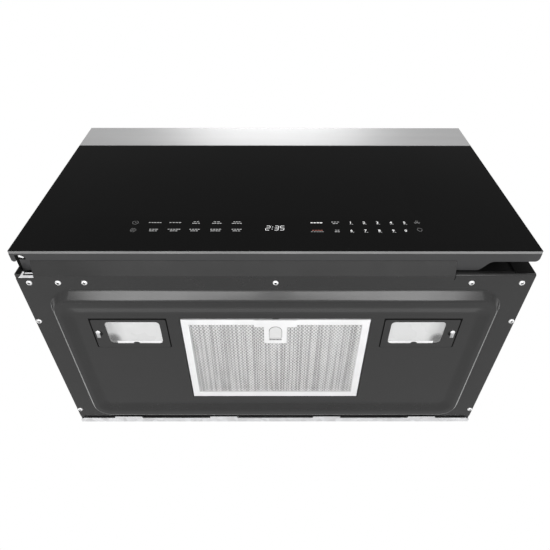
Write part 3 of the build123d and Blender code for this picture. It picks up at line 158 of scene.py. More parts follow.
class Finish(Graph):
    """A material under way. Constants are set on the shader itself."""

    def __init__(self, name, **constants):
        self.material = bpy.data.materials.new(name)
        self.material.use_nodes = True
        super().__init__(self.material.node_tree)
        self.shader = self.tree.nodes["Principled BSDF"]
        for key, value in constants.items():
            self.set(key, value)
        self.place = self.node("ShaderNodeTexCoord", output="Object")

    def set(self, key, value):
        socket = self.find(self.shader.inputs, key.replace("_", " "))
        if isinstance(value, Value):
            self.tree.links.new(value.socket, socket)
        else:
            socket.default_value = value

    def axis(self, letter):
        """The place on the piece along one axis, in metres."""
        return self.node("ShaderNodeSeparateXYZ", (), {0: self.place}, letter)

    def stretched(self, scale):
        """The place on the piece, in pattern lengths along x, y and z."""
        return self.node("ShaderNodeMapping", (), {"Vector": self.place, "Scale": scale})

    def noise(self, scale, detail=2.0, rough=0.5, place=None):
        """Soft clouds from 0 to 1, as fine as the scale."""
        values = {"Vector": place or self.place, "Scale": scale, "Detail": detail, "Roughness": rough}
        return self.node("ShaderNodeTexNoise", (), values)

    def cells(self, scale, output="Distance", place=None, feature="F1"):
        """Grains, by the distance from their middles or by a colour for each."""
        values = {"Vector": place or self.place, "Scale": scale}
        return self.node("ShaderNodeTexVoronoi", {"feature": feature}, values, output)

    def span(self, value, low, high, start=0.0, end=1.0):
        """Turns low..high of a value into start..end, and stops there."""
        values = {"Value": value, "From Min": low, "From Max": high, "To Min": start, "To Max": end}
        return self.node("ShaderNodeMapRange", {"clamp": True}, values)

    def blend(self, first, second, factor):
        """A colour between two, the second where the factor is 1."""
        sides = {"Factor_Float": factor}
        for key, colour in (("A_Color", first), ("B_Color", second)):
            sides[key] = colour if isinstance(colour, Value) else rgb(colour)
        return self.node("ShaderNodeMix", {"data_type": "RGBA"}, sides, "Result_Color")

    def surface(self, colour, rough, height, depth):
        """Closes the finish with its colour, roughness and relief, whose depth is in metres."""
        self.set("Base Color", colour)
        self.set("Roughness", rough)
        self.set("Normal", self.node("ShaderNodeBump", (), {"Height": height, "Distance": depth}))
        return self.material


# Finishes

def painted(name, colour, rough, gloss=0.5):
    """Baked enamel on sheet steel, with a fine orange peel and a little dust."""
    made = Finish(name, Specular_IOR_Level=gloss)
    dust = made.noise(22.0, 4.0, 0.6)
    grain = made.noise(1500.0, 1.0)
    return made.surface(made.blend(colour * 0.88, colour * 1.12, dust),
                        made.span(dust * 0.7 + grain * 0.3, 0.25, 0.75, rough - 0.05, rough + 0.06),
                        made.noise(420.0, 2.0), 0.00001)


def moulded(name, colour, rough, grain=900.0, depth=0.00004, gloss=0.45):
    """Moulded plastic with a fine spark texture."""
    made = Finish(name, Specular_IOR_Level=gloss)
    cloud = made.noise(14.0, 3.0)
    low, high = ([c * share for c in colour] for share in (0.9, 1.1))
    return made.surface(made.blend(low, high, cloud),
                        made.span(cloud, 0.3, 0.7, rough - 0.04, rough + 0.05),
                        made.noise(grain, 3.0, 0.7), depth)


def latch_tab_white():
    """The latch tab, a little greyer than its plate, darkened at its front tip by painted shade where it
    sits in the gap.
    """
    made = Finish("latch_tab_white", Specular_IOR_Level=0.45)
    # Painted shade: the front tip of the tab is darkened where the gap shades it.
    shaded_nose = made.axis("Y") < (tab_front - 0.5) * MM
    cloud = made.noise(14.0, 3.0)
    return made.surface(made.blend(made.blend(0.58, 0.64, cloud), 0.035, shaded_nose),
                        made.span(cloud, 0.3, 0.7, 0.36, 0.45),
                        made.noise(600.0, 3.0, 0.7), 0.00004)


def brushed_steel():
    """Stainless steel brushed along the width."""
    made = Finish("brushed_steel", Metallic=1.0, Anisotropic=0.5)
    lines = made.noise(1.0, 5.0, 0.75, made.stretched((6.0, 900.0, 900.0)))
    wide = made.noise(1.0, 2.0, 0.5, made.stretched((3.0, 60.0, 60.0)))
    tone = made.span(lines * 0.75 + wide * 0.25, 0.3, 0.7)
    return made.surface(made.blend((0.31, 0.31, 0.312), (0.38, 0.38, 0.382), tone),
                        made.span(lines, 0.3, 0.7, 0.31, 0.44),
                        lines, 0.00002)


def galvanised(name="galvanised", low=0.40, high=0.62, rough=0.38):
    """Zinc-coated sheet, with the frost-like grains of the coating."""
    made = Finish(name, Metallic=0.85)
    warp = made.noise(90.0, 2.0)
    grain = made.cells(95.0, "Color")
    shade = made.node("ShaderNodeSeparateColor", (), {0: grain}, 0)
    tone = made.span(shade * 0.6 + warp * 0.4, 0.15, 0.85)
    return made.surface(made.blend((low, low, low * 1.01), (high, high * 1.005, high * 1.02), tone),
                        made.span(shade, 0.0, 1.0, rough - 0.08, rough + 0.12),
                        shade * 0.5 + made.noise(700.0, 2.0) * 0.5, 0.00002)


def satin_metal(name, low, high, rough):
    """Pressed or plated metal, bright and slightly milky, with rolling marks."""
    made = Finish(name, Metallic=0.55)
    marks = made.noise(1.0, 4.0, 0.6, made.stretched((24.0, 260.0, 260.0)))
    cloud = made.noise(35.0, 3.0)
    return made.surface(made.blend(low, high, made.span(marks * 0.5 + cloud * 0.5, 0.3, 0.7)),
                        made.span(cloud, 0.3, 0.7, rough - 0.05, rough + 0.08),
                        made.noise(800.0, 2.0), 0.00001)


def mesh_aluminium():
    """Expanded aluminium: a bright lower net, an upper one darkened in patches by painted shade, and
    painted highlights along the folds.
    """
    made = Finish("mesh_aluminium", Metallic=0.4)
    folds = made.noise(1.0, 1.0, 0.5, made.stretched((150.0, 1.6, 0.0)))
    shade_patch = made.noise(1.0, 1.0, 0.5, made.stretched((60.0, 22.0, 0.0)))
    # Painted highlight: the folds are lightened, more on the lower net.
    fold_highlight = made.span((folds - 0.5).size(), 0.03, 0.09, 1.0, 0.0)
    lower = made.axis("Z") < between_nets * MM
    # Painted shade: the upper net is darker, in patches, than the lower one.
    shaded_upper_net = made.blend(0.12, 0.40, made.span(shade_patch, 0.35, 0.65))
    nets = made.blend(shaded_upper_net, 0.76, lower)
    return made.surface(made.blend(nets, 1.0, fold_highlight * made.span(lower, 0.0, 1.0, 0.45, 1.0)),
                        made.span(made.noise(60.0, 2.0), 0.3, 0.7, 0.34, 0.46),
                        made.noise(900.0, 2.0), 0.00001)


def black_glass():
    """Black backed glass: a dark face with a dotted window, and a ground lower edge, rougher, and
    lightened by a painted highlight as if lit from below.
    """
    made = Finish("black_glass", Specular_IOR_Level=0.008, IOR=1.5)
    edge_start, edge_top = glass_ys[0] + 0.5, glass_zs[0] + 12.0
    edge = (made.axis("Y") > edge_start * MM) * (made.axis("Z") < edge_top * MM)
    cloud = made.noise(5.0, 2.0)
    dots_per_metre = 340.0
    column = made.axis("X") * dots_per_metre
    row = made.axis("Z") * dots_per_metre
    shift = (row - row % 1.0) % 2.0 * 0.5
    across = ((column + shift) % 1.0 - 0.5).size()
    along = (row % 1.0 - 0.5).size()
    dot = made.span(across * across + along * along, 0.05, 0.08, 1.0, 0.0)
    window_x, window_z = -65.0, 212.0
    window_half_width, window_half_height = 280.0, 108.0
    window = (made.axis("X") - window_x * MM).size() < window_half_width * MM
    window = window * ((made.axis("Z") - window_z * MM).size() < window_half_height * MM)
    face = made.blend(made.blend(0.0075, 0.0085, cloud), 0.0098, dot * window)
    # Painted highlight: the lower edge's colour is lightened, as light from below would.
    rim = made.blend(0.16, 0.27, made.noise(9.0, 2.0))
    return made.surface(made.blend(face, rim, edge),
                        made.span(cloud, 0.3, 0.7, 0.04, 0.06) + edge * 0.35,
                        made.noise(3.0, 1.0) + made.noise(900.0, 2.0) * edge, 0.00001)


def clear_glass(name, colour, rough, wave=40.0, transmission=1.0):
    """Clear glass, faintly uneven."""
    made = Finish(name, IOR=1.5, Transmission_Weight=transmission)
    cloud = made.noise(wave, 2.0)
    return made.surface(made.blend([c * 0.97 for c in colour], colour, cloud),
                        made.span(cloud, 0.3, 0.7, rough, rough + 0.04),
                        cloud, 0.00005)


def frosted():
    """The lamp's cover glass: milky, thin enough for the reflector to show, with a painted shadow by the
    lead.
    """
    made = Finish("lens_glass", Specular_IOR_Level=0.4)
    cloud = made.noise(18.0, 2.0)
    ribs = (made.axis("Y") * 3600.0).sine() * 0.5 + 0.5
    outer = made.axis("X").size()
    aside = outer - (lead_place[0] + 0.5) * MM
    behind = made.axis("Y") - (lead_place[1] - 1.0) * MM
    far = aside * aside * 1.3 + behind * behind + cloud * 0.00002
    # Painted shadow: the glass is darkened round the place of the lead behind it.
    lead_shadow = made.span(far, 0.00003, 0.00024, 0.85, 0.0)
    milk = made.blend((0.74, 0.745, 0.745), (0.81, 0.81, 0.81), cloud)
    fade_start, fade_end = 0.248, 0.270
    made.set("Alpha", made.span(outer + cloud * 0.01, fade_start, fade_end, 0.68, 0.42))
    return made.surface(made.blend(milk, 0.16, lead_shadow),
                        made.span(cloud, 0.3, 0.7, 0.22, 0.32),
                        ribs * 0.6 + cloud * 0.4, 0.00002)


def oven_enamel():
    """Grey oven enamel with fine light and dark specks."""
    made = Finish("oven_enamel", Specular_IOR_Level=0.5)
    light = made.span(made.cells(900.0), 0.10, 0.16, 1.0, 0.0)
    dark = made.span(made.cells(620.0), 0.08, 0.14, 1.0, 0.0)
    ground = made.blend((0.30, 0.305, 0.31), (0.35, 0.355, 0.36), made.noise(9.0, 3.0))
    return made.surface(made.blend(made.blend(ground, 0.55, light * 0.7), 0.12, dark * 0.6),
                        made.span(made.noise(50.0, 2.0), 0.3, 0.7, 0.30, 0.40),
                        made.noise(260.0, 2.0), 0.00004)


def reflector():
    """Lamp housing: white enamel inside its walls, greyed towards the outer wall by painted shade, and
    near black outside them as painted shade, where the gap round the cover shows the housing.
    """
    made = Finish("lamp_reflector", Specular_IOR_Level=0.5)
    rim, wall = 0.5, 0.8
    outer = made.axis("X").size()
    inside = (outer > (lens_xs[0] - rim) * MM) * (outer < (lens_xs[1] + rim) * MM)
    inside = inside * (made.axis("Y") > (lens_ys[0] - rim) * MM)
    inside = inside * (made.axis("Y") < (lens_ys[1] + rim) * MM)
    inside = inside * (made.axis("Z") < (housing_top - wall) * MM)
    cloud = made.noise(30.0, 3.0)
    shade_start, shade_end = 0.250, 0.266
    white = made.blend((0.80, 0.80, 0.795), (0.88, 0.88, 0.875), cloud)
    # Painted shade: the white turns grey towards the outer wall.
    white = made.blend(white, 0.55, made.span(outer, shade_start, shade_end))
    # Painted shade: near black outside the walls, so that the gap round the cover looks dark.
    return made.surface(made.blend(0.004, white, inside),
                        0.95 - made.span(cloud, 0.3, 0.7, 0.72, 0.62) * inside,
                        made.noise(120.0, 2.0), 0.00004)


def circuit_board():
    """Green solder mask with paler tracks under it, and bright solder pads."""
    made = Finish("circuit_board", Specular_IOR_Level=0.5)
    flat = made.stretched((70.0, 70.0, 70.0))
    tracks = made.span(made.cells(1.0, "Distance", flat, "DISTANCE_TO_EDGE"), 0.04, 0.06, 1.0, 0.0)
    pads = made.span(made.cells(260.0), 0.14, 0.18, 1.0, 0.0)
    green = made.blend((0.010, 0.075, 0.030), (0.014, 0.12, 0.045), made.noise(20.0, 2.0))
    green = made.blend(green, (0.03, 0.17, 0.06), tracks)
    return made.surface(made.blend(green, (0.55, 0.50, 0.40), pads * 0.8),
                        made.span(pads, 0.0, 1.0, 0.38, 0.28),
                        tracks + pads, 0.00003)


def iron_core():
    """Varnished steel sheets stacked on edge, dark between the leaves, brown in places."""
    made = Finish("iron_core", Metallic=0.3)
    leaves = (made.axis("X") * 6000.0).sine() * 0.5 + 0.5
    rust = made.noise(45.0, 4.0, 0.65)
    body = made.blend((0.045, 0.043, 0.042), (0.12, 0.105, 0.095), made.span(rust, 0.35, 0.7))
    return made.surface(made.blend(body, 0.03, leaves * 0.35),
                        made.span(rust, 0.3, 0.7, 0.42, 0.62),
                        leaves * 0.4 + rust * 0.6, 0.00006)


def charcoal_pellets():
    """A tray of small charcoal pellets, darker between them by painted shade."""
    made = Finish("charcoal_pellets", Specular_IOR_Level=0.3)
    pellet = made.cells(420.0)
    # Painted shade: darker at the edges of each pellet, where they meet.
    return made.surface(made.blend(0.020, 0.006, made.span(pellet, 0.1, 0.6)),
                        made.span(pellet, 0.1, 0.6, 0.6, 0.85),
                        1.0 - pellet, 0.0006)


def mica_sheet():
    """Pressed mica: buff, with flakes of light and dark."""
    made = Finish("mica_sheet", Specular_IOR_Level=0.6)
    flake = made.node("ShaderNodeSeparateColor", (), {0: made.cells(260.0, "Color")}, 1)
    cloud = made.noise(40.0, 4.0, 0.6)
    return made.surface(made.blend((0.36, 0.28, 0.18), (0.62, 0.54, 0.40), flake * 0.6 + cloud * 0.4),
                        made.span(flake, 0.0, 1.0, 0.32, 0.55),
                        flake, 0.00003)


def lit_marks(name, low, high, glow):
    """Print or light on the glass: a thin layer with a little grain, which glows faintly."""
    made = Finish(name, Specular_IOR_Level=0.2, Emission_Strength=glow)
    ink = made.blend(low, high, made.noise(700.0, 2.0))
    made.set("Base Color", ink)
    made.set("Emission Color", ink)
    made.set("Roughness", made.span(made.noise(300.0, 2.0), 0.3, 0.7, 0.5, 0.65))
    return made.material


# One finish for each of the record's material slots
finishes = {
    "casing_paint": painted("casing_enamel", 0.022, 0.34),
    "bottom_paint": painted("plate_enamel", 0.0165, 0.19),
    "front_paint": painted("frame_enamel", 0.006, 0.45, gloss=0.12),
    "oven_enamel": oven_enamel(),
    "stainless_steel": brushed_steel(),
    "galvanised_steel": galvanised(),
    "screw_steel": satin_metal("zinc_steel", (0.88, 0.88, 0.885), (0.96, 0.96, 0.965), 0.34),
    "bright_aluminium": satin_metal("satin_aluminium", (0.92, 0.92, 0.925), (0.97, 0.97, 0.975), 0.46),
    "filter_aluminium": mesh_aluminium(),
    "black_glass": black_glass(),
    "clear_glass": clear_glass("tray_glass", (0.93, 0.965, 0.95), 0.02),
    "frosted_lens": frosted(),
    "bulb_glass": clear_glass("bulb_glass", (0.97, 0.97, 0.96), 0.03, 120.0, 0.9),
    "reflector": reflector(),
    "door_plastic": moulded("door_plastic", (0.034, 0.034, 0.035), 0.42),
    "black_plastic": moulded("black_plastic", (0.018, 0.018, 0.019), 0.46),
    "white_plastic": moulded("white_plastic", (0.70, 0.695, 0.67), 0.40, 600.0),
    "board_green": circuit_board(),
    "core_iron": iron_core(),
    "charcoal": charcoal_pellets(),
    "mica": mica_sheet(),
    "rubber_black": moulded("rubber", (0.015, 0.015, 0.015), 0.62, 500.0, 0.00008),
}

# Finishes that a piece takes instead of its slot's own
bright_zinc = galvanised("bright_zinc", 0.84, 0.96, 0.46)
bracket_zinc = galvanised("bracket_zinc", 0.80, 0.92, 0.36)
# A near-black, nearly matte finish for dark pieces that paint the shade in gaps
dark_seal = moulded("dark_seal", (0.002, 0.002, 0.002), 0.7, gloss=0.08)
# Painted shade: dark, for the pieces inside the screws' cross recesses
recess_oxide = painted("recess_oxide", 0.03, 0.7)
tab_white = latch_tab_white()


# Pieces

record = frame["record"]
body_of = {name: body for body, members in record["behaviour"]["bodies"].items() for name in members}
slot_of = {part["node"]: part["material_slot"] for part in record["subparts"]}


def link(name, data):
    """A new object in the scene, for a mesh, a curve, a lamp or a camera."""
    piece = bpy.data.objects.new(name, data)
    bpy.context.scene.collection.objects.link(piece)
    return piece


def baked(piece):
    """The mesh of a piece with its modifiers worked in. The piece itself goes."""
    bpy.context.view_layer.update()
    graph = bpy.context.evaluated_depsgraph_get()
    mesh = bpy.data.meshes.new_from_object(piece.evaluated_get(graph), depsgraph=graph)
    bpy.data.objects.remove(piece)
    return mesh


def shaded(mesh, degrees):
    """Smooth faces, with a crease wherever they meet at more than this angle."""
    mesh.shade_smooth()
    mesh.set_sharp_from_angle(angle=math.radians(degrees))
    return mesh


def fit(name, mesh, body, slot, *replaced, finish=None):
    """A finished piece on its body, which stands for the CAD nodes that it replaces."""
    mesh.materials.clear()
    mesh.materials.append(finish or finishes[slot])
    piece = link(name, mesh)
    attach(piece, body)
    if replaced:
        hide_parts(*replaced)


def rounded_edges(name, mesh, width, steps=2):
    """The mesh with its hard edges rounded."""
    hard = 28
    piece = link(name, mesh)
    bevel = piece.modifiers.new("rounding", "BEVEL")
    bevel.width = width * MM
    bevel.segments = steps
    bevel.limit_method = "ANGLE"
    bevel.angle_limit = math.radians(hard)
    bevel.harden_normals = True
    mesh.shade_smooth()
    return baked(piece)


def merged(node):
    """A copy of a CAD node's mesh with its loose triangles joined into whole faces."""
    shape = bmesh.new()
    shape.from_mesh(nodes[node].data)
    bmesh.ops.remove_doubles(shape, verts=shape.verts, dist=0.002 * MM)
    bmesh.ops.dissolve_limit(shape, angle_limit=math.radians(0.4), verts=shape.verts,
                             edges=shape.edges, delimit={"NORMAL"})
    for layer in list(shape.loops.layers.float_vector.values()):
        shape.loops.layers.float_vector.remove(layer)
    mesh = bpy.data.meshes.new(node)
    shape.to_mesh(mesh)
    shape.free()
    if "custom_normal" in mesh.attributes:
        mesh.attributes.remove(mesh.attributes["custom_normal"])
    return mesh


def dressed(node, width, front=None, finish=None):
    """Replaces a CAD node with its own shape, edges rounded. Its front face may move, as (from, to)."""
    mesh = merged(node)
    if front:
        for vert in mesh.vertices:
            if abs(vert.co.y - front[0] * MM) < 0.01 * MM:
                vert.co.y = front[1] * MM
    mesh = rounded_edges(node, mesh, width)
    fit(f"{node}_finished", mesh, body_of[node], slot_of[node], node, finish=finish)


def mesh_from(name, shape):
    """The mesh of a finished bmesh, which goes."""
    mesh = bpy.data.meshes.new(name)
    shape.to_mesh(mesh)
    shape.free()
    return mesh


def prism(shape, outline, start, end, flat=False):
    """A closed slab over an outline of (x, z) between two depths, or of (x, y) between two heights."""
    near, far = ([shape.verts.new(Vector((a, b, level) if flat else (a, level, b)) * MM)
                  for a, b in outline] for level in (start, end))
    shape.faces.new(near)
    shape.faces.new(far[::-1])
    for i in range(len(outline)):
        j = (i + 1) % len(outline)
        shape.faces.new((near[j], near[i], far[i], far[j]))


def slabs(name, *pieces, width=0.15, steps=2, flat=True):
    """Slabs with rounded edges, each (outline, start, end): flat, or upright as panes are."""
    shape = bmesh.new()
    for outline, start, end in pieces:
        prism(shape, outline, start, end, flat)
    bmesh.ops.recalc_face_normals(shape, faces=shape.faces)
    return rounded_edges(name, mesh_from(name, shape), width, steps)


def strip(name, slot, *pieces, body="casing", finish=None, **edges):
    """Slabs with rounded edges that ride on a body as one piece."""
    fit(name, slabs(name, *pieces, **edges), body, slot, finish=finish)


def arc(centre, radii, start, end, steps):
    """Points on an oval about a centre, from one angle to another, in degrees."""
    turns = [math.radians(start + (end - start) * i / steps) for i in range(steps + 1)]
    return [(centre[0] + radii[0] * math.cos(turn), centre[1] + radii[1] * math.sin(turn))
            for turn in turns]


def rectangle(x, y, corner, z, per_corner=4):
    """A rounded rectangle, anticlockwise from above, starting on its right side."""
    left, right = x[0] + corner, x[1] - corner
    front, rear = y[0] + corner, y[1] - corner
    points = []
    middles = ((right, rear), (left, rear), (left, front), (right, front))
    for turn, middle in zip((0, 90, 180, 270), middles):
        points += [(*point, z) for point in arc(middle, (corner, corner), turn, turn + 90, per_corner)]
    return points


# Bottom plate: one pressed sheet, drawn as rings from its flange in to its floor

flange_z = 9.6
bead_half = 354.0
bead_ys = (-141.0, 190.0)

# Each ring: inset at the sides, inset at the ends, corner radius, height.
flange_ring = (6.6, -3.0, 41.0, flange_z)
bead_edge = (9.2, 0.0, 38.0, flange_z)
bead_foot = (15.2, 15.2, 26.8, 0.0)
terrace_edge = (23.8, 27.2, 21.0, 0.0)
floor_edge = (38.0, 45.2, 10.5, floor_z)
floor_ring = (44.0, 51.2, 6.5, floor_z)


def ring_points(side, end, corner, z):
    """One ring of the bead, inset from the bead's outline at its sides and ends."""
    reach = bead_half - side
    return rectangle((-reach, reach), (bead_ys[0] + end, bead_ys[1] - end), corner, z, per_corner=12)


def bend(before, crease, after, share_in, share_out):
    """Rings that carry one slope smoothly into the next, over a share of each."""
    steps = 5
    start = [c + (b - c) * share_in for b, c in zip(before, crease)]
    end = [c + (a - c) * share_out for a, c in zip(after, crease)]
    rings = []
    for i in range(steps + 1):
        t = i / steps
        rings.append([(1 - t) ** 2 * s + 2 * t * (1 - t) * c + t * t * e
                      for s, c, e in zip(start, crease, end)])
    return rings


def flat_with_holes(shape, outer, holes):
    """Fills a flat outline, leaving its holes open."""
    loops = [[Vector(p) for p in outer]] + [[Vector(p) for p in hole] for hole in holes]
    verts = [shape.verts.new(p * MM) for ring in loops for p in ring]
    for triangle in tessellate_polygon(loops):
        if len(set(triangle)) == 3:
            shape.faces.new([verts[i] for i in triangle])


def strip_between(shape, rings, closed=True):
    """Quads from each row of points to the next."""
    rows = [[shape.verts.new(Vector(p) * MM) for p in ring] for ring in rings]
    count = len(rows[0])
    for row, following in zip(rows, rows[1:]):
        for i in range(count if closed else count - 1):
            j = (i + 1) % count
            shape.faces.new((row[i], row[j], following[j], following[i]))


# The front edge: a notch at the hinge, the tongue, a slit, and the lip that folds up at the pocket.
notch_left = -353.0
notch_back = -163.3
slit = (261.8, 263.0)
slit_back = -161.3
lip_bend = 3.0
lip_top = 17.0
lip_start = body_front + lip_bend + 0.6
tongue_start = -168.0
tongue_rows = ((-167.7, 9.58), (-190.5, 17.55))

# The sheet's thickness, and where the tongue thins to a share of it.
sheet = 1.0
tongue_thins_at = -180.0
tongue_thin_share = 0.15

rear_notches = (-285.0, -100.0, 100.0, 285.0)
notch_half, notch_depth = 28.0, 4.0
rear_cut = 5.0
filter_hole = ((-151.5, 151.5), (-83.0, 124.0))
filter_hole_corner = 2.0
lamp_hole = ((171.3, 294.2), (-83.4, -14.8))
lamp_hole_corner = 4.0


def plate_outline():
    """The flange's outer edge, from its front right by the slit and the notches."""
    z = flange_z
    points = [(half_width, lip_start), (slit[1], lip_start), (slit[1], slit_back), (slit[0], slit_back),
              (slit[0], tongue_start), (notch_left, tongue_start), (notch_left, notch_back),
              (-half_width, notch_back), (-half_width, plate_rear - rear_cut),
              (-half_width + rear_cut, plate_rear)]
    for x in rear_notches:
        left, right, inner = x - notch_half, x + notch_half, plate_rear - notch_depth
        points += [(left, plate_rear), (left, inner), (right, inner), (right, plate_rear)]
    points += [(half_width - rear_cut, plate_rear), (half_width, plate_rear - rear_cut)]
    return [(x, y, z) for x, y in points]


def lip_rows():
    """The lip's profile as (y, z): a quarter turn up from the flange, then straight."""
    steps = 5
    rows = [(lip_start, flange_z)]
    for i in range(steps + 1):
        angle = math.radians(90 * i / steps)
        rows.append((body_front + lip_bend * (1 - math.sin(angle)),
                     flange_z + lip_bend * (1 - math.cos(angle))))
    rows.append((body_front, lip_top))
    return rows


def bottom_plate():
    """The pressed sheet: bead, flange, floor with its openings, lip and tongue."""
    shape = bmesh.new()
    flat_share, foot_share, slope_share = 0.6, 0.17, 0.25
    rings = [flange_ring]
    rings += bend(flange_ring, bead_edge, bead_foot, flat_share, foot_share)
    rings += bend(bead_edge, bead_foot, terrace_edge, foot_share, slope_share)
    rings += bend(bead_foot, terrace_edge, floor_edge, slope_share, slope_share)
    rings += bend(terrace_edge, floor_edge, floor_ring, slope_share, flat_share)
    rings.append(floor_ring)
    rows = [ring_points(*ring) for ring in rings]
    strip_between(shape, rows)
    flat_with_holes(shape, plate_outline(), [rows[0]])
    holes = [rectangle(*filter_hole, filter_hole_corner, floor_z)]
    for side in (-1, 1):
        xs = sorted(side * x for x in lamp_hole[0])
        holes.append(rectangle(xs, lamp_hole[1], lamp_hole_corner, floor_z))
    flat_with_holes(shape, rows[-1], holes)
    for ends, profile in (((slit[1], half_width), lip_rows()), ((notch_left, slit[0]), tongue_rows)):
        strip_between(shape, [[(x, y, z) for x in ends] for y, z in profile], closed=False)
    bmesh.ops.remove_doubles(shape, verts=shape.verts, dist=0.01 * MM)
    bmesh.ops.recalc_face_normals(shape, faces=shape.faces)
    lowest = min(shape.faces, key=lambda face: face.calc_center_median().z)
    if lowest.normal.z > 0:
        bmesh.ops.reverse_faces(shape, faces=shape.faces)
    piece = link("pressed_sheet", mesh_from("pressed_sheet", shape))
    full = piece.vertex_groups.new(name="full")
    behind = [vert.index for vert in piece.data.vertices if vert.co.y > tongue_thins_at * MM]
    full.add(behind, 1.0, "REPLACE")
    wall = piece.modifiers.new("sheet", "SOLIDIFY")
    wall.vertex_group = full.name
    wall.thickness_vertex_group = tongue_thin_share
    wall.thickness = sheet * MM
    wall.offset = -1
    wall.use_even_offset = True
    return shaded(baked(piece), degrees=40)


fit("bottom_plate_pressed", bottom_plate(), "casing", "bottom_paint", "bottom_plate")


# Rear panel's hem: folded under the plate's rear edge, with a tab in each notch

hem_levels = (floor_z, floor_z + 1.0)
hem_front = 196.2
hem_tab_front = 191.6
hem_rear = plate_rear + 0.6
hem_rear_end = half_width - 4.5
hem_front_end = half_width - 6.5
hem_tab_root = notch_half - 1.0
hem_tab_tip = notch_half - 2.0
hem_outline = [(hem_rear_end, hem_rear), (-hem_rear_end, hem_rear), (-hem_front_end, hem_front)]
for x in rear_notches:
    hem_outline += [(x - hem_tab_root, hem_front), (x - hem_tab_tip, hem_tab_front),
                    (x + hem_tab_tip, hem_tab_front), (x + hem_tab_root, hem_front)]
hem_outline.append((hem_front_end, hem_front))
strip("rear_panel_hem", "galvanised_steel", (hem_outline, *hem_levels), finish=bright_zinc)


# Shapes that repeat

class Shape(Graph):
    """A geometry tree under way, with a named input for each of its sizes."""

    kinds = {float: "NodeSocketFloat", bpy.types.Material: "NodeSocketMaterial",
             bpy.types.Object: "NodeSocketObject"}

    def __init__(self, name, **sizes):
        super().__init__(bpy.data.node_groups.new(name, "GeometryNodeTree"))
        self.name = name
        self.keys = {}
        face = self.tree.interface
        face.new_socket(name="Places", in_out="INPUT", socket_type="NodeSocketGeometry")
        face.new_socket(name="Result", in_out="OUTPUT", socket_type="NodeSocketGeometry")
        for title, size in sizes.items():
            item = face.new_socket(name=title, in_out="INPUT", socket_type=self.kinds[type(size)])
            self.keys[title] = item.identifier
        self.sizes = sizes
        self.inlet = self.tree.nodes.new("NodeGroupInput")

    def __getitem__(self, title):
        return Value(self, self.find(self.inlet.outputs, self.keys.get(title, title)))

    def vector(self, x=0.0, y=0.0, z=0.0):
        """A vector from three sizes, any of which may be worked out in the tree."""
        return self.node("ShaderNodeCombineXYZ", (), {0: x, 1: y, 2: z})

    def end(self, geometry):
        """Closes the tree with real geometry in its finish."""
        real = self.node("GeometryNodeRealizeInstances", (), {"Geometry": geometry})
        values = {"Geometry": real, "Material": self["finish"]}
        finished = self.node("GeometryNodeSetMaterial", (), values)
        self.tree.links.new(finished.socket, self.tree.nodes.new("NodeGroupOutput").inputs[0])

    def make(self, places=(), **changes):
        """The shape on these places, as a plain mesh."""
        carrier = bpy.data.meshes.new(self.name)
        carrier.from_pydata([Vector(p) * MM for p in places], [], [])
        piece = link(self.name, carrier)
        growth = piece.modifiers.new(self.name, "NODES")
        growth.node_group = self.tree
        for title, size in {**self.sizes, **changes}.items():
            growth[self.keys[title]] = size
        return baked(piece)


def lathed(profile):
    """A closed turned shape from (radius, z) points, the first and last on the axis."""
    turns = 28
    shape = bmesh.new()
    ends = [shape.verts.new((0, 0, z * MM)) for z in (profile[0][1], profile[-1][1])]
    rows = []
    for radius, z in profile[1:-1]:
        angles = [2 * math.pi * i / turns for i in range(turns)]
        rows.append([shape.verts.new((radius * math.cos(a) * MM, radius * math.sin(a) * MM, z * MM))
                     for a in angles])
    for i in range(turns):
        j = (i + 1) % turns
        shape.faces.new((ends[0], rows[0][j], rows[0][i]))
        shape.faces.new((ends[1], rows[-1][i], rows[-1][j]))
        for row, following in zip(rows, rows[1:]):
            shape.faces.new((row[i], row[j], following[j], following[i]))
    bmesh.ops.recalc_face_normals(shape, faces=shape.faces)
    return shape


def cut(mesh, tool):
    """The mesh less the tool."""
    piece, knife = link("blank", mesh), link("knife", tool)
    work = piece.modifiers.new("cut", "BOOLEAN")
    work.operation = "DIFFERENCE"
    work.solver = "EXACT"
    work.use_self = True
    work.object = knife
    left = baked(piece)
    bpy.data.objects.remove(knife)
    return left


def cross(long, wide, bottom, top):
    """Two crossing bars that taper upwards."""
    taper = 0.6
    shape = bmesh.new()
    for turn in (0, 90):
        bar = bmesh.ops.create_cube(shape, size=1.0)["verts"]
        for vert in bar:
            share, level = (taper, top) if vert.co.z > 0 else (1.0, bottom)
            vert.co = Vector((vert.co.x * long * share, vert.co.y * wide * share, level))
        quarter = Matrix.Rotation(math.radians(turn), 3, "Z")
        bmesh.ops.rotate(shape, verts=bar, cent=(0, 0, 0), matrix=quarter)
        bmesh.ops.scale(shape, verts=bar, vec=(MM, MM, MM))
    return mesh_from("cross", shape)


def screw_head():
    """A pan head screw, its head down, with a cross recess."""
    shank, shank_end = 1.85, 5.0
    pan = [(4.0, 0.0), (4.0, -0.5), (3.8, -1.05), (3.3, -1.55), (2.5, -1.92), (1.4, -2.14), (0, -2.2)]
    head = lathed([(0, shank_end), (shank, shank_end), (shank, 0.0), *pan])
    recess = cross(5.0, 1.7, bottom=-2.6, top=-0.2)
    return shaded(cut(mesh_from("head", head), recess), degrees=30)


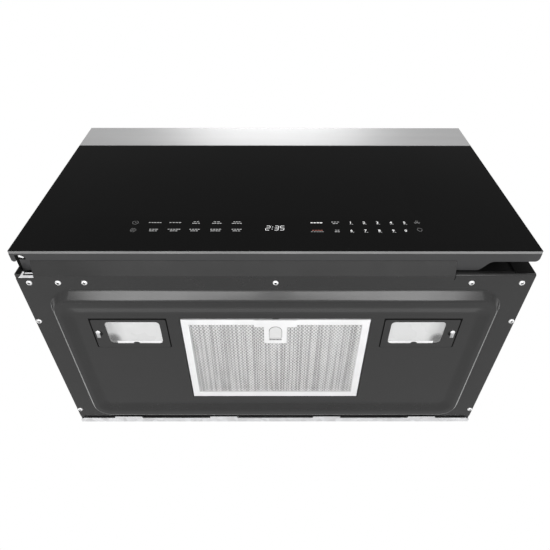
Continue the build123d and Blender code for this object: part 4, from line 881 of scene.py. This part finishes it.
# The recess's shade is painted: a dark piece of its own sits just inside each head, so that its cross
# shows.
pattern = link("screw_head", screw_head())
shadow = link("screw_recess", cross(4.6, 1.55, bottom=-1.75, top=-0.3))
screws = Shape("screws", pattern=pattern, size=1.0, turn=0.7, finish=finishes["screw_steel"])
copy_of = screws.node("GeometryNodeObjectInfo", {"transform_space": "ORIGINAL"},
                      {"Object": screws["pattern"]}, "Geometry")
spin_of = screws.vector(z=screws.node("GeometryNodeInputIndex") * screws["turn"])
screws.end(screws.node("GeometryNodeInstanceOnPoints", (), {
    "Points": screws["Places"], "Instance": copy_of, "Rotation": spin_of,
    "Scale": screws.vector(screws["size"], screws["size"], screws["size"])}))

front_screw_y = -155.5
front_screw_xs = (-362.4, -320.0, -281.3, 0.0, 288.8, 363.0)
side_screw_x = 374.0
side_screw_ys = (-74.0, 171.0)
plate_screw_size = 1.08
screw_places = [(x, front_screw_y, flange_z) for x in front_screw_xs]
screw_places += [(side * side_screw_x, y, flange_z) for side in (-1, 1) for y in side_screw_ys]
fit("bottom_plate_screws", screws.make(screw_places, size=plate_screw_size), "casing", "screw_steel",
    "bottom_screws")
fit("bottom_screw_recesses", screws.make(screw_places, size=plate_screw_size, pattern=shadow), "casing",
    "screw_steel", finish=recess_oxide)

lamp_screw = (286.0, -51.0, 7.0)
lamp_screw_size = 0.95
lamp_screw_places = [(side * lamp_screw[0], *lamp_screw[1:]) for side in (-1, 1)]
fit("lamp_cover_screws", screws.make(lamp_screw_places, size=lamp_screw_size), "casing", "screw_steel",
    "lamp_screws")
bpy.data.objects.remove(pattern)
bpy.data.objects.remove(shadow)


# Lamp covers: a keyhole round each screw, the clip it holds, and what shows at the windows.
# Outlines are the right lamp's, as (x, y); the left one mirrors them.

keyhole_place = (284.6, -49.4)
keyhole = [(0, 3.0), (6.3, 3.0), (6.3, 9.0), (0, 9.0)]
clip_outline = [(289.0, -50.0), (283.4, -50.0), (283.4, -38.8), (289.0, -38.8)]
clip_levels = (5.3, 6.0)

# At the window's rear: a bright ledge, a pad that holds the lens, and the lead behind the lens.
ledge_rear = -25.1
ledge_outline = [(258.8, -30.0), (186.0, -30.0), (184.5, ledge_rear), (258.8, ledge_rear)]
ledge_levels = (6.1, 6.9)
pad_outline = arc((227.8, ledge_rear), (5.4, -3.4), 0, 180, 8)
pad_levels = (5.7, 6.6)
lead_outline = arc(lead_place, (7.5, 9.5), 0, 330, 11)
lead_levels = (9.4, 21.0)

# A dark piece paints the shade in the gap between cover and plate, at the sides and in front.
gap_shade_outer, gap_shade_inner = (171.4, 294.1), (173.4, 292.1)
gap_shade_front, cover_front, gap_shade_rear = -83.3, -80.1, -16.0
gap_shade_outline = [(gap_shade_outer[0], gap_shade_rear), (gap_shade_outer[0], gap_shade_front),
                  (gap_shade_outer[1], gap_shade_front), (gap_shade_outer[1], gap_shade_rear),
                  (gap_shade_inner[1], gap_shade_rear), (gap_shade_inner[1], cover_front),
                  (gap_shade_inner[0], cover_front), (gap_shade_inner[0], gap_shade_rear)]
gap_shade_levels = (5.94, 6.7)


def lamp_cover(side, hand):
    """One lamp's cover with its clip, ledge, pad and lead, and painted shade in the gap round it."""
    def here(outline, levels):
        return [(side * x, y) for x, y in outline], *levels

    hole = lathed(keyhole)
    middle = Vector((side * keyhole_place[0], keyhole_place[1], 0))
    bmesh.ops.translate(hole, verts=hole.verts, vec=middle * MM)
    cover = cut(merged(f"lamp_cover_{hand}"), mesh_from("keyhole", hole))
    fit(f"lamp_cover_{hand}_finished", rounded_edges("cover", cover, 0.25), "casing", "bottom_paint",
        f"lamp_cover_{hand}")
    strip(f"lamp_clip_{hand}", "galvanised_steel", here(clip_outline, clip_levels))
    strip(f"lens_ledge_{hand}", "bright_aluminium", here(ledge_outline, ledge_levels))
    strip(f"lens_pads_{hand}", "rubber_black", here(pad_outline, pad_levels),
          here(lead_outline, lead_levels))
    # Painted shade: a dark piece in the gap round the cover
    strip(f"lamp_gasket_{hand}", "rubber_black", here(gap_shade_outline, gap_shade_levels), width=0.05,
          finish=dark_seal)


lamp_cover(-1, "left")
lamp_cover(1, "right")


# Grease filter mesh: two nets of expanded aluminium, the upper one finer and with waves in it

net_tuck = 1.0
net_front = mesh_ys[0] - net_tuck
net_length = mesh_ys[1] + net_tuck - net_front
net = Shape("expanded_mesh", width=(mesh_xs[1] - mesh_xs[0]) * MM, length=net_length * MM,
            front=net_front * MM, level=9.6 * MM, cell_width=5.9 * MM, cell_length=3.7 * MM,
            strand=1.85 * MM, thickness=0.4 * MM, wave=0.1 * MM, wave_length=26.0 * MM,
            finish=finishes["filter_aluminium"])

# One strand zigzags across the filter, half a cell at a time.
step = net["cell_width"] * 0.5
count = net["width"] / step + 1.0
row = net.node("GeometryNodeMeshLine", {"mode": "OFFSET"}, {
    "Count": count, "Start Location": net.vector(net["width"] * -0.5), "Offset": net.vector(step)})
odd = net.node("GeometryNodeInputIndex") % 2.0
row = net.node("GeometryNodeSetPosition", (), {
    "Geometry": row, "Offset": net.vector(y=(odd - 0.5) * net["cell_length"])})
row = net.node("GeometryNodeMeshToCurve", (), {0: row})

# It repeats along the filter, and every other one moves by half a cell, so that they meet.
rows = net.node("GeometryNodeMeshLine", {"mode": "OFFSET"}, {
    "Count": net["length"] / net["cell_length"],
    "Start Location": net.vector(0.0, net["front"] + net["cell_length"] * 0.5, net["level"]),
    "Offset": net.vector(y=net["cell_length"])})
rows = net.node("GeometryNodeSetPosition", (), {"Geometry": rows, "Offset": net.vector(odd * step)})
rows = net.node("GeometryNodeInstanceOnPoints", (), {"Points": rows, "Instance": row})
rows = net.node("GeometryNodeRealizeInstances", (), {"Geometry": rows})

# The net rises and falls in waves, and its strands are flat bars.
across = net.node("ShaderNodeSeparateXYZ", (), {0: net.node("GeometryNodeInputPosition")})
lift = (across * (2 * math.pi) / net["wave_length"]).sine() * net["wave"]
rows = net.node("GeometryNodeSetPosition", (), {"Geometry": rows, "Offset": net.vector(z=lift)})
rows = net.node("GeometryNodeSetCurveNormal", {"mode": "Z_UP"}, {0: rows})
section = net.node("GeometryNodeCurvePrimitiveQuadrilateral", (),
                   {"Width": net["strand"], "Height": net["thickness"]})
net.end(net.node("GeometryNodeCurveToMesh", (), {
    "Curve": rows, "Profile Curve": section, "Fill Caps": True}))
fit("filter_net_lower", net.make(), "grease_filter", "filter_aluminium", "filter_mesh")
fit("filter_net_upper", net.make(level=11.0 * MM, wave=0.7 * MM, wave_length=11.5 * MM,
                                 cell_width=3.7 * MM, cell_length=2.05 * MM, strand=0.9 * MM),
    "grease_filter", "filter_aluminium")


# Door glass

face_y = glass_ys[0] + 0.1
glass_back = glass_ys[1] + 1.2
glass_top = glass_zs[1] + 1.2
pane_outline = [(x, z) for x, z, _ in rectangle(glass_xs, (glass_zs[0], glass_top), 0.8, 0.0)]
fit("door_pane", slabs("door_pane", (pane_outline, face_y, glass_back), width=0.5, steps=3, flat=False),
    "door", "black_glass", "door_glass")


# What is printed on the glass

ink = (face_y - 0.06, face_y + 0.1)
ink_middle = sum(ink) / 2


def print_on_glass(name, shape, ink_name, low, high, glow):
    """A print that moves with the door, in an ink of its own."""
    fit(name, mesh_from(name, shape), "door", "black_glass", finish=lit_marks(ink_name, low, high, glow))


def stroke(shape, points, width):
    """A printed line through (x, z) points."""
    for (x0, z0), (x1, z1) in zip(points, points[1:]):
        along = Vector((x1 - x0, z1 - z0)).normalized()
        side = Vector((-along.y, along.x)) * (width / 2)
        start, end = Vector((x0, z0)), Vector((x1, z1))
        prism(shape, [start - side, end - side, end + side, start + side], *ink)


def caption(shape, x, z, widths, height=1.35):
    """Short dashes in lines, in place of words."""
    dash_pitch, line_pitch = 4.2, 4.0
    for line, width in enumerate(widths):
        level = z + line_pitch * (len(widths) - 1) / 2 - line_pitch * line
        dashes = max(2, round(width / dash_pitch))
        share = width / dashes
        for i in range(dashes):
            start = x - width / 2 + i * share
            uneven = ((i * 5 + line * 3) % 4) / 3
            long = share * (0.68 + 0.2 * uneven)
            stroke(shape, [(start, level), (start + long, level)], height)


def number(shape, text, x, z, size):
    """Digits facing the front, a little bolder than the plain face."""
    boldness = 0.16
    letters = bpy.data.curves.new("digits", "FONT")
    letters.body = text
    letters.size = size * MM
    letters.align_x = "CENTER"
    letters.align_y = "CENTER"
    letters.offset = boldness * MM
    letters.extrude = (ink[1] - ink[0]) / 2 * MM
    letters.resolution_u = 2
    flat = baked(link("digits", letters))
    upright = Matrix.Rotation(math.pi / 2, 4, "X")
    flat.transform(Matrix.Translation(Vector((x, ink_middle, z)) * MM) @ upright)
    shape.from_mesh(flat)
    bpy.data.meshes.remove(flat)


# Keys stand in two rows. Heights are above the glass's lower edge.
base = glass_zs[0]
upper_keys = ((-183.0, (20.5,)), (-152.6, (18.5,)), (-120.5, (9.0, 12.5)), (-89.2, (10.5, 15.0)),
              (-58.7, (11.5, 16.0)))
lower_keys = ((-182.3, (13.5, 12.5)), (-151.6, (20.0, 12.0)), (-121.0, (16.0, 12.0)),
              (-89.6, (16.5, 15.0)), (-58.2, (15.5, 12.0)))
captions = bmesh.new()
for keys, height in ((upper_keys, 70.5), (lower_keys, 51.0)):
    for x, widths in keys:
        caption(captions, x, base + height, widths)

# Two small keys beside the start and stop keys
caption(captions, 91.4, base + 70.1, (12.5, 9.0), 1.2)
caption(captions, 92.5, base + 48.8, (7.0, 8.5), 1.2)

# The number keys, each but the last with a fine line below it
digits = bmesh.new()
digit_size = 7.4
digit_rise, line_drop, line_shift = 0.6, 3.4, 1.2
for texts, xs, height in (("12345", (114.3, 134.8, 155.3, 175.9, 196.4), 69.8),
                          ("67890", (113.3, 134.2, 155.0, 175.9, 194.5), 48.9)):
    for text, x in zip(texts, xs):
        number(digits, text, x, base + height + digit_rise, digit_size)
        if text != "0":
            caption(captions, x + line_shift, base + height - line_drop, (6.0,), 0.7)


def icons():
    """Four plain signs: a timer, a dish with steam, a fan and a lamp."""
    shape = bmesh.new()
    thin, thick = 0.45, 0.5

    timer = (-213.6, base + 70.4)
    stroke(shape, arc(timer, (4.4, 4.4), 110, 440, 22), thin)
    stroke(shape, [(-213.6, base + 73.2), timer, (-211.4, base + 69.2)], thin)

    stroke(shape, arc((-212.9, base + 50.8), (4.2, 4.2), 0, 360, 22), thin)
    for shift in (-1.8, 0.0, 1.8):
        stroke(shape, [(-213.5 + shift, base + 48.9), (-212.3 + shift, base + 52.7)], thin)

    hub = (215.8, base + 71.1)
    for turn in (90, 210, 330):
        blade = arc(hub, (4.3, 4.3), turn - 26, turn + 26, 1)
        stroke(shape, [hub, *blade, hub], thick)

    stroke(shape, arc((215.9, base + 52.4), (3.6, 3.6), -60, 240, 16), thick)
    socket_xs, socket_zs = (214.4, 217.4), (base + 49.3, base + 47.9)
    stroke(shape, [(socket_xs[0], socket_zs[0]), (socket_xs[0], socket_zs[1]),
                   (socket_xs[1], socket_zs[1]), (socket_xs[1], socket_zs[0])], thick)
    return shape


print_on_glass("printed_marks", captions, "white_print", 0.42, 0.55, 0.25)
print_on_glass("icon_marks", icons(), "faint_print", 0.20, 0.28, 0.15)
print_on_glass("digit_marks", digits, "digit_print", 0.70, 0.85, 0.35)

# The start key in bold, and the stop key in red over grey
start_key = bmesh.new()
caption(start_key, 62.5, base + 70.1, (18.5,), 2.1)
print_on_glass("start_key_mark", start_key, "bold_print", 0.75, 0.88, 0.4)
stop_key = bmesh.new()
caption(stop_key, 62.7, base + 50.3, (16.0,), 1.3)
print_on_glass("stop_key_mark", stop_key, "red_print", (0.30, 0.10, 0.08), (0.36, 0.13, 0.10), 0.3)
stop_line = bmesh.new()
caption(stop_line, 62.7, base + 46.9, (20.0,), 1.2)
print_on_glass("stop_key_line", stop_line, "grey_print", 0.25, 0.33, 0.2)


# The clock: digits of seven bars, lettered a to g clockwise from the top, with g in the middle

segments = {"2": "abged", "3": "abgcd", "5": "afgcd"}
clock_lean = 0.12
clock_z = base + 56.3
clock_digits = (("2", -11.6), ("3", 1.2), ("5", 9.8))
colon_xs, colon_zs, colon_width = (-5.6, -4.4), (-2.6, 2.6), 1.2


def clock_digit(shape, digit, x, z):
    """One digit, leaning to the right, with small gaps between its bars."""
    w, h = 2.9, 5.5
    bar_share, bar_width = 0.84, 0.75
    ends = {"a": ((-w, h), (w, h)), "g": ((-w, 0), (w, 0)), "d": ((-w, -h), (w, -h)),
            "f": ((-w, h), (-w, 0)), "b": ((w, h), (w, 0)),
            "e": ((-w, 0), (-w, -h)), "c": ((w, 0), (w, -h))}
    for bar in segments[digit]:
        (x0, z0), (x1, z1) = ends[bar]
        middle = Vector(((x0 + x1) / 2, (z0 + z1) / 2))
        points = [middle + (Vector(p) - middle) * bar_share for p in ((x0, z0), (x1, z1))]
        stroke(shape, [(x + px + clock_lean * pz, z + pz) for px, pz in points], bar_width)


clock = bmesh.new()
for digit, x in clock_digits:
    clock_digit(clock, digit, x, clock_z)
for z in colon_zs:
    stroke(clock, [(x + clock_lean * z, clock_z + z) for x in colon_xs], colon_width)
print_on_glass("clock_digits", clock, "clock_light", 0.80, 0.92, 0.7)


# The hinge's corner, lower left: bright bracket edges, dark pieces of painted shade in the gaps, and the
# end of the hinge.
# Outlines are (x, y), each followed by the levels of its two faces.

bracket_bars = (
    ([(-376.0, -164.6), (-352.6, -164.6), (-352.6, -169.6), (-370.6, -169.6)], 9.7, 10.3),
    ([(-364.3, -172.3), (-351.8, -172.3), (-352.4, -174.5), (-362.4, -174.5)], 10.1, 10.6),
    ([(-374.4, -165.0), (-370.9, -165.0), (-363.2, -175.3), (-365.5, -176.4)], 10.3, 10.9))
strip("hinge_bracket_edges", "galvanised_steel", *bracket_bars, finish=bracket_zinc)

# Painted shade: a dark piece in the gap at the corner
corner_gap = [(-378.9, -168.0), (-376.6, -165.0), (-364.4, -178.4), (-369.4, -181.0)]
strip("corner_seal", "rubber_black", (corner_gap, 11.0, 11.6), finish=dark_seal)

# Painted shade: a dark piece on the pull pocket's back, upright in front of the casing at the lower
# right
pocket_xs, pocket_zs = (350.0, 378.9), (13.0, 96.0)
pocket_back = [(pocket_xs[0], pocket_zs[0]), (pocket_xs[1], pocket_zs[0]),
               (pocket_xs[1], pocket_zs[1]), (pocket_xs[0], pocket_zs[1])]
pocket_depths = (body_front - 0.7, body_front - 0.1)
strip("pocket_seal", "rubber_black", (pocket_back, *pocket_depths), width=0.1, flat=False,
      finish=dark_seal)

hinge_end = [(-366.4, -200.4), (-364.2, -201.2), (-359.2, -197.4), (-360.4, -195.6), (-366.6, -197.8)]
strip("hinge_end", "bright_aluminium", (hinge_end, 17.2, 17.7))

# Painted shade: a dark piece in the gap at the door's lower hinge end
door_gap = [(-372.3, -200.6), (-368.0, -200.6), (-366.4, -196.6), (-357.6, -195.0),
            (-358.6, -192.6), (-367.4, -193.2), (-368.2, -173.0), (-372.3, -173.0)]
strip("door_end_seal", "black_plastic", (door_gap, 17.85, 18.2), body="door", finish=dark_seal)


# CAD shapes with their edges rounded, each by its own width

edge_widths = {
    "top_trim": 0.7, "filter_frame": 0.7, "filter_latch_plate": 0.2, "hinge_bracket_bottom": 0.4,
    "hinge_bracket_top": 0.4, "vent_louvre": 0.5, "cord_grommet": 0.5, "lamp_lens_left": 0.5,
    "lamp_lens_right": 0.5}
dressed("door_frame", 0.6, front=(glass_ys[1], glass_back))
for name, width in edge_widths.items():
    dressed(name, width)
dressed("rear_panel", 0.3, finish=bright_zinc)
dressed("filter_latch_tab", 0.35, finish=tab_white)


# Painted shade in the seam that runs round the latch tab on the latch plate: a dark ring, rounded in
# front, open at the rear

tab_half = 9.75
seam_inner = tab_half + 0.3
seam_outer = seam_inner + 0.37
seam_centre = (0.0, tab_front + tab_half)
seam_end = tab_rear - 2.0
seam_steps = 24
seam = [(seam_outer, seam_end)]
seam += arc(seam_centre, (seam_outer, -seam_outer), 0, 180, seam_steps)
seam += [(-seam_outer, seam_end), (-seam_inner, seam_end)]
seam += arc(seam_centre, (seam_inner, -seam_inner), 180, 0, seam_steps)
seam += [(seam_inner, seam_end)]
seam_levels = (latch_plate_low - 0.12, latch_plate_low + 0.08)
strip("latch_tab_seam", "rubber_black", (seam, *seam_levels), width=0.05,
      body=body_of["filter_latch_plate"], finish=dark_seal)


# What still shows of the CAD shapes takes its finish

for name, part in nodes.items():
    if not part.hide_render:
        for place in part.material_slots:
            place.material = finishes[slot_of[name]]


# Studio, in metres: pale floor well below, soft lamps, and the camera at the photograph's angle

def softbox(name, place, aim, size, power):
    """A rectangular soft lamp that the camera doesn't see."""
    lamp = bpy.data.lights.new(name, "AREA")
    lamp.shape = "RECTANGLE"
    lamp.size, lamp.size_y = size
    lamp.energy = power
    holder = link(name, lamp)
    holder.location = place
    holder.rotation_euler = (Vector(aim) - Vector(place)).to_track_quat("-Z", "Y").to_euler()
    holder.visible_camera = False


floor_level = -1.25
floor_radius = 9.0
floor_finish = Finish("studio_floor", Specular_IOR_Level=0.1, Roughness=0.9)
floor_finish.set("Base Color", floor_finish.blend(0.87, 0.89, floor_finish.noise(1.5, 2.0)))
floor_shape = bmesh.new()
bmesh.ops.create_circle(floor_shape, cap_ends=True, segments=96, radius=floor_radius)
floor = link("floor", mesh_from("floor", floor_shape))
floor.data.transform(Matrix.Translation((0, 0, floor_level)))
floor.data.materials.append(floor_finish.material)

# The world is dim as light, and white where the camera, a reflection or a clear piece looks at it.
ambient = 0.54
world = bpy.data.worlds.new("studio")
world.use_nodes = True
bpy.context.scene.world = world
sky = Graph(world.node_tree)
seen = sky.node("ShaderNodeLightPath", output="Is Camera Ray")
for ray in ("Is Glossy Ray", "Is Transmission Ray"):
    seen = seen.maths("MAXIMUM", seen, sky.node("ShaderNodeLightPath", output=ray))
backdrop = world.node_tree.nodes["Background"]
backdrop.inputs["Color"].default_value = rgb(1.0)
world.node_tree.links.new((seen * (1.0 - ambient) + ambient).socket, backdrop.inputs["Strength"])

# Low lamps light the underside, side and rim lamps the ends, and the strip lamp the steel on top.
low_y, low_z = -0.52, -0.86
bead_y = -0.13
middle = (0.0, 0.0, 0.2)
for side in (-1, 1):
    softbox(f"low_lamp_{side + 2}", (side * 0.395, low_y, low_z), aim=(side * 0.25, bead_y, 0.0),
            size=(0.60, 0.36), power=3.9)
    softbox(f"side_lamp_{side + 2}", (side * 2.4, -0.6, 0.5), aim=middle, size=(1.4, 1.6), power=15.0)
softbox("low_lamp_2", (0.0, low_y, low_z), aim=(0.0, bead_y, 0.0), size=(0.26, 0.36), power=0.5)
for side in (-1, 1):
    softbox(f"rim_lamp_{side + 2}", (side * 1.7, 1.4, -0.2), aim=(side * 0.34, 0.0, 0.0),
            size=(1.0, 0.8), power=4.5)
softbox("floor_lamp", (0.0, -0.12, -1.15), aim=(0.0, -0.12, 0.0), size=(1.3, 0.5), power=0.7)
softbox("strip_lamp", (0.0, -0.78, 2.72), aim=(0.0, -0.2, 0.39), size=(1.3, 0.8), power=13.0)

# The camera stands in front and below, and looks up.
photo_width_pixels = 550.0
focal_length_pixels = 476.1
lens = bpy.data.cameras.new("camera")
lens.sensor_fit = "HORIZONTAL"
lens.sensor_width = 36.0
lens.lens = lens.sensor_width * focal_length_pixels / photo_width_pixels
lens.clip_start = 0.02
camera = link("camera", lens)
camera.location = (-0.0026, -0.624, -0.5122)
camera.rotation_euler = [math.radians(angle) for angle in (139.01, 0.09, -0.10)]
bpy.context.scene.camera = camera
bpy.context.scene.view_settings.view_transform = "Standard"
